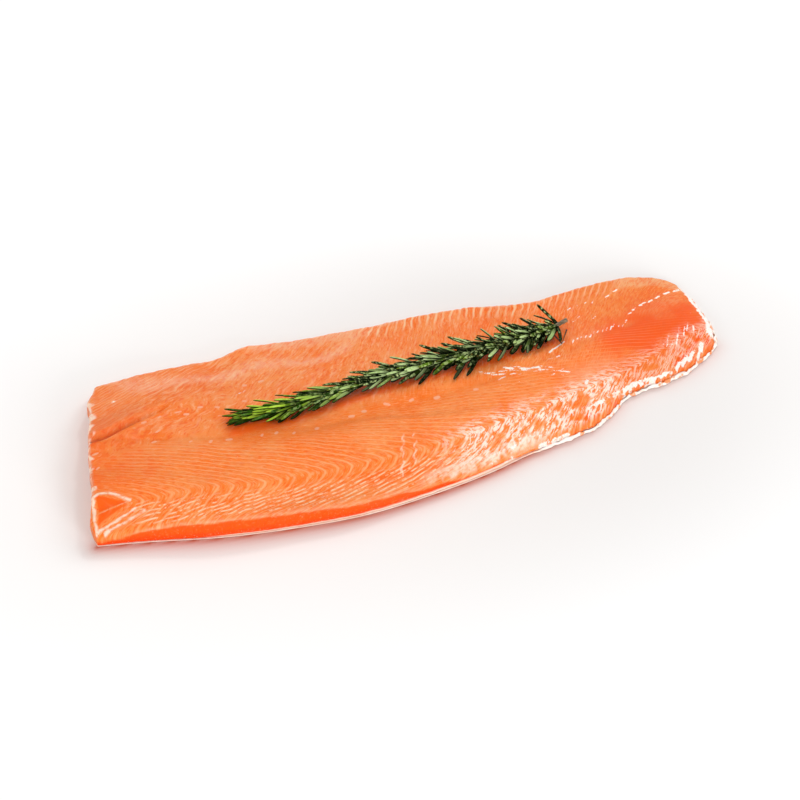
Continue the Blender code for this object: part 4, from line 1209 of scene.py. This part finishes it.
def flesh_material():
    n = Nodes("salmon flesh")
    back_phase, rim_phase, belly_phase = n.attributes("back_phase", "rim_phase", "belly_phase")
    shine, fat, deep, pale, wall, cut = n.attributes("shine", "fat", "deep", "pale", "wall", "cut")
    x, y, z = n.split()

    broad = n.noise(38.0, 3.0, 0.55)
    small = n.noise(260.0, 4.0, 0.6)
    specks = n.noise(620.0, 2.0, 0.5)
    grain = n.noise(1500.0, 2.0, 0.6)
    middle = n.span(y, -0.022, 0.004)
    back_streak = n.streaks(back_phase, 5.0, 70.0)
    belly_streak = n.streaks(belly_phase, 5.0, 60.0)
    streak = n.mix(middle, n.span(back_streak, 0.45, 0.75), n.span(belly_streak, 0.42, 0.70))
    # Short brushed marks along the muscle lines, lighter and darker than the flesh.
    back_marks = n.streaks(back_phase, 8.0, 230.0, detail=2.0)
    belly_marks = n.streaks(belly_phase, 5.0, 190.0, detail=2.0)
    marks = n.mix(middle, back_marks, belly_marks)

    colour = n.mix(n.span(broad, 0.35, 0.68), FLESH, FLESH_PALE)
    colour = n.mix(n.times(streak, 0.55), colour, FLESH_STREAK)
    colour = n.mix(n.times(n.span(small, 0.52, 0.75), 0.35), colour, FLESH_DEEP)
    colour = n.mix(n.span(marks, 0.54, 0.68, 0.0, 0.60), colour, MARK_LIGHT)
    colour = n.mix(n.span(marks, 0.47, 0.34, 0.0, 0.65), colour, MARK_DARK)
    colour = n.mix(n.times(pale, n.span(marks, 0.36, 0.58, 0.35, 1.0)), colour, PINK_PALE)
    # Painted shade by the cleft, and the duller colour of the belly flap.
    colour = n.mix(n.attribute("dull"), colour, DULL_AND_SHADE_COLOUR)
    # Deep orange, which also carries the painted shadow of the sprig.
    colour = n.mix(deep, colour, FLESH_DEEP)
    tinted = n.mix(1.0, colour, TAIL_TINT, "MULTIPLY")
    colour = n.mix(n.span(x, 0.095, 0.175), colour, tinted)

    back_mask = n.times(n.line(back_phase, 0.17), n.attribute("back_line"))
    back_mask = n.times(back_mask, n.span(back_streak, 0.25, 0.6, 0.6, 1.15), clamp=True)
    colour = n.mix(back_mask, colour, LINE_COLOUR)
    belly_mask = n.times(n.line(belly_phase, 0.24), n.attribute("belly_line"))
    belly_mask = n.times(belly_mask, n.span(belly_streak, 0.25, 0.6, 0.5, 1.15), clamp=True)
    colour = n.mix(belly_mask, colour, BELLY_LINE_COLOUR)
    rim_mask = n.times(n.attribute("rim"), n.line(rim_phase, 0.30))
    rim_mask = n.times(rim_mask, n.span(n.noise(170.0, 3.0, 0.70), 0.42, 0.56, 0.0, 1.0))
    colour = n.mix(rim_mask, colour, RIM_STROKE_COLOUR)

    # The whitish places of paint_crest, partly real pale tissue and partly painted glare and glints.
    crest_mask = n.times(n.attribute("crest"), n.span(small, 0.30, 0.58, 0.2, 1.0))
    colour = n.mix(n.times(crest_mask, 0.9), colour, CREST_AND_GLARE_COLOUR)
    # Painted glare: white strokes on the back's muscle lines and fine glints where the shine field lies.
    glare_stroke_mask = n.times(n.times(shine, n.line(back_phase, 0.22)), n.span(small, 0.38, 0.58, 0.1, 0.95))
    glints = n.streaks(back_phase, 4.5, 210.0, roughness=0.65)
    glint_mask = n.times(shine, n.span(glints, 0.48, 0.56, 0.0, 0.95))
    colour = n.mix(n.math("MAXIMUM", glare_stroke_mask, glint_mask), colour, GLARE_COLOUR)

    wall_tone = n.mix(n.span(z, 0.002, 0.009), WALL_LOW, WALL_COLOUR)
    wall_tone = n.mix(n.times(n.span(small, 0.56, 0.74), 0.4), wall_tone, FLESH_PALE)
    wall_tone = n.mix(n.span(specks, 0.60, 0.74, 0.0, 0.3), wall_tone, WALL_SPECK)
    colour = n.mix(wall, colour, wall_tone)
    foot = n.times(n.span(z, 0.0036, 0.0026), n.span(x, -0.165, -0.140))
    colour = n.mix(n.times(foot, wall), colour, FAT_WARM)
    cut_mask = n.times(n.line(n.attribute("cut_phase"), 0.16), 0.7)
    colour = n.mix(cut, colour, n.mix(cut_mask, CUT_COLOUR, LINE_COLOUR))
    dot = n.math("ADD", n.attribute("pink"), n.times(n.math("SUBTRACT", small, 0.5), 0.8))
    colour = n.mix(n.times(n.span(dot, 0.30, 0.62), 0.8), colour, PINK_DOT)
    # White fat, with the painted glare patches that the same field carries.
    ragged_fat = n.math("ADD", fat, n.math("SUBTRACT", small, 0.5))
    ragged_fat = n.math("ADD", ragged_fat, n.times(n.math("SUBTRACT", specks, 0.5), 0.9))
    fat_tone = n.mix(n.span(grain, 0.4, 0.7), FAT_COLOUR, FAT_WARM)
    colour = n.mix(n.span(ragged_fat, 0.34, 0.60), colour, fat_tone)

    fibre = n.streaks(back_phase, 14.0, 260.0, detail=2.0, roughness=0.5)
    stroke_height = n.times(n.times(shine, n.line(back_phase, 0.28)), 0.9)
    height = n.math("ADD", n.times(small, 0.9), n.times(fibre, 0.5))
    height = n.math("ADD", height, n.times(grain, 0.12))
    height = n.math("ADD", height, n.times(marks, 0.8))
    height = n.math("SUBTRACT", height, n.times(back_mask, 0.35))
    height = n.math("ADD", height, stroke_height)
    roughness = n.span(n.noise(420.0, 3.0, 0.6), 0.35, 0.70, 0.46, 0.62)
    return n.finish(colour, roughness, n.bump(height, 0.0005), Subsurface_Weight=0.20,
                    Subsurface_Radius=(1.0, 0.32, 0.16), Subsurface_Scale=0.0022,
                    Specular_IOR_Level=0.05, Coat_Weight=0.50, Coat_Roughness=0.06, Coat_IOR=1.34)


def skin_material():
    n = Nodes("salmon skin")
    _, y, z = n.split()
    cells = n.new("ShaderNodeTexVoronoi", feature="F1")
    n.put(cells.inputs["Vector"], n.stretch((0.72, 1.0, 0.05)))
    cells.inputs["Scale"].default_value = 420.0
    scale_edge = n.span(cells.outputs["Distance"], 0.25, 0.62)
    tone = n.noise(30.0, 3.0, 0.6)
    to_back = n.span(y, 0.010, -0.070)
    silver = n.mix(to_back, SILVER, SILVER_BACK)
    silver = n.mix(n.times(scale_edge, 0.45), silver, SCALE_EDGE)
    silver = n.mix(n.times(n.span(n.noise(120.0), 0.66, 0.70), to_back), silver, SKIN_SPOT)
    silver = n.mix(n.times(n.span(tone, 0.4, 0.7), 0.25), silver, SILVER_BRIGHT)
    membrane = n.mix(n.span(n.noise(300.0, 4.0, 0.6), 0.45, 0.70), MEMBRANE, MEMBRANE_WARM)
    membrane = n.mix(n.span(n.noise(150.0, 3.0, 0.6), 0.52, 0.60), membrane, MEMBRANE_ORANGE)
    line = n.mix(n.span(n.noise(160.0), 0.4, 0.6), SKIN_LINE, MEMBRANE_WARM)
    edge = n.mix(n.attribute("rim"), line, membrane)
    colour = n.mix(n.span(z, 0.0001, 0.0004), silver, edge)
    height = n.math("ADD", n.times(scale_edge, 0.8), n.times(n.noise(700.0, 3.0), 0.5))
    return n.finish(colour, n.span(tone, 0.3, 0.7, 0.22, 0.40), n.bump(height, 0.0002),
                    Subsurface_Weight=0.15, Subsurface_Radius=(1.0, 0.7, 0.6), Subsurface_Scale=0.0015,
                    Coat_Weight=0.4, Coat_Roughness=0.12)


def needle_material():
    n = Nodes("rosemary needles")
    shade, along, under, edge, lift = n.attributes("shade", "along", "under", "edge", "lift")
    x, _, _ = n.split()
    mottle = n.noise(420.0, 3.0, 0.6)
    fine = n.noise(1.0, 3.0, 0.6, n.stretch((300.0, 900.0, 900.0)))
    green = n.mix(n.span(shade, 0.25, 0.95), NEEDLE_DARK, NEEDLE_LIGHT)
    # Painted highlight: light spots across the needles.
    green = n.mix(n.times(n.span(mottle, 0.46, 0.66), 0.75), green, NEEDLE_HIGHLIGHT_SPOTS)
    young = n.mix(n.span(shade, 0.1, 0.9), YOUNG_NEEDLE_DARK, YOUNG_NEEDLE_LIGHT)
    green = n.mix(n.times(n.span(x, -0.030, -0.112), 0.85), green, young)
    green = n.mix(n.times(n.span(along, 0.90, 1.0), 0.5), green, NEEDLE_DRY)
    grey = n.mix(n.span(mottle, 0.4, 0.7), NEEDLE_GREY, NEEDLE_GREY_DARK)
    colour = n.mix(under, green, grey)
    grey_share = n.times(n.span(shade, 0.60, 0.72), n.span(x, -0.09, -0.02, 0.0, 0.85))
    colour = n.mix(grey_share, colour, grey)
    # Painted shade at the needles' sides, at their bases and low down near the flesh.
    colour = n.mix(n.span(edge, 0.22, 0.72, 0.0, 0.96), colour, SHADE_AT_SIDES)
    colour = n.mix(n.span(along, 0.55, 0.05, 0.0, 0.95), colour, SHADE_AT_BASE)
    colour = n.mix(n.span(lift, 7.0, 2.0, 0.0, 0.92), colour, SHADE_LOW_DOWN)
    height = n.math("ADD", fine, n.times(mottle, 0.5))
    return n.finish(colour, n.span(mottle, 0.3, 0.7, 0.34, 0.52), n.bump(height, 0.00015),
                    Specular_IOR_Level=0.02, Coat_Weight=0.03, Coat_Roughness=0.20)


def stem_material():
    n = Nodes("rosemary stem")
    fibre = n.noise(1.0, 4.0, 0.6, n.stretch((180.0, 900.0, 900.0)))
    bark = n.mix(n.span(fibre, 0.35, 0.7), BARK_DARK, BARK_LIGHT)
    young = n.mix(n.span(fibre, 0.35, 0.7), YOUNG_STEM_DARK, YOUNG_STEM_LIGHT)
    colour = n.mix(n.span(n.attribute("wood"), 0.86, 0.98), young, bark)
    return n.finish(colour, 0.7, n.bump(fibre, 0.0003), Specular_IOR_Level=0.3)


def twig_material():
    n = Nodes("dry twig")
    fibre = n.noise(1.0, 4.0, 0.6, n.stretch((300.0, 900.0, 900.0)))
    colour = n.mix(n.span(fibre, 0.35, 0.7), TWIG_DARK, TWIG_LIGHT)
    return n.finish(colour, 0.7, n.bump(fibre, 0.0002), Specular_IOR_Level=0.3)


def floor_material():
    n = Nodes("white floor")
    x, y, _ = n.split()
    # Painted shade on the floor: darker near the side, more so at its tail end, fading to the plain floor far
    # off, and warm close to the back edge.
    squares = n.math("ADD", n.math("POWER", n.times(x, 0.55), 2.0), n.math("POWER", y, 2.0))
    near_shade = n.mix(n.span(x, -0.20, 0.20), FLOOR_SHADE_HEAD, FLOOR_SHADE_TAIL)
    colour = n.mix(n.span(n.math("SQRT", squares), 0.09, 0.27), near_shade, FLOOR_FAR)
    colour = n.mix(n.attribute("warm"), colour, FLOOR_WARM_SHADE)
    return n.finish(colour, 0.8, None, Specular_IOR_Level=0.1)


def make_floor():
    """The floor, with a field for the warm shade close to the side's back edge."""
    fine_steps = np.linspace(-FLOOR_FINE_HALF, FLOOR_FINE_HALF, FLOOR_FINE_STEPS + 1)
    steps = np.concatenate(([-FLOOR_HALF], fine_steps, [FLOOR_HALF]))
    x, y = np.meshgrid(steps, steps, indexing="ij")
    back_edge = np.column_stack(plan_point(np.linspace(0.0, 1.0, BACK_EDGE_POINTS), 0.0)) / MM
    warm = np.exp(-distance_to_line(x / MM, y / MM, back_edge) / WARM_REACH_MM)
    warm = warm * (1.0 - WARM_LOSS_AT_TAIL * soft_step(0.03, 0.14, x))
    points = np.stack((x, y, np.zeros_like(x)), axis=-1).reshape(-1, 3).tolist()
    floor = new_object("floor", points, grid_faces(*x.shape).tolist(), floor_material(), {"warm": warm})


def add_area_light(name, place, target, size, power, in_reflections):
    data = bpy.data.lights.new(name, "AREA")
    data.shape = "DISK"
    data.size = size
    data.energy = power
    light = bpy.data.objects.new(name, data)
    bpy.context.collection.objects.link(light)
    light.location = place
    light.rotation_euler = (Vector(target) - Vector(place)).to_track_quat("-Z", "Y").to_euler()
    light.visible_glossy = in_reflections


def make_lights():
    world = bpy.data.worlds.new("white studio")
    world.use_nodes = True
    background = world.node_tree.nodes["Background"]
    background.inputs["Color"].default_value = (1.0, 1.0, 1.0, 1.0)
    background.inputs["Strength"].default_value = WORLD_STRENGTH
    bpy.context.scene.world = world
    for light in LIGHTS:
        add_area_light(*light)


def make_camera():
    data = bpy.data.cameras.new("camera")
    data.lens = CAMERA_LENS
    data.sensor_width = CAMERA_SENSOR
    data.clip_start = CAMERA_CLIP_START
    camera = bpy.data.objects.new("camera", data)
    bpy.context.collection.objects.link(camera)
    back = Vector((math.sin(CAMERA_AZIMUTH) * math.cos(CAMERA_ELEVATION),
                   -math.cos(CAMERA_AZIMUTH) * math.cos(CAMERA_ELEVATION), math.sin(CAMERA_ELEVATION)))
    camera.location = CAMERA_TARGET + CAMERA_DISTANCE * back
    camera.rotation_euler = back.to_track_quat("Z", "Y").to_euler()
    bpy.context.scene.camera = camera


def main():
    bpy.context.scene.view_settings.view_transform = "Standard"
    make_camera()
    make_lights()
    make_floor()
    for piece in (make_flesh(), make_skin(), make_needles(), make_stem(), make_twig()):
        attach(piece, "root")


main()
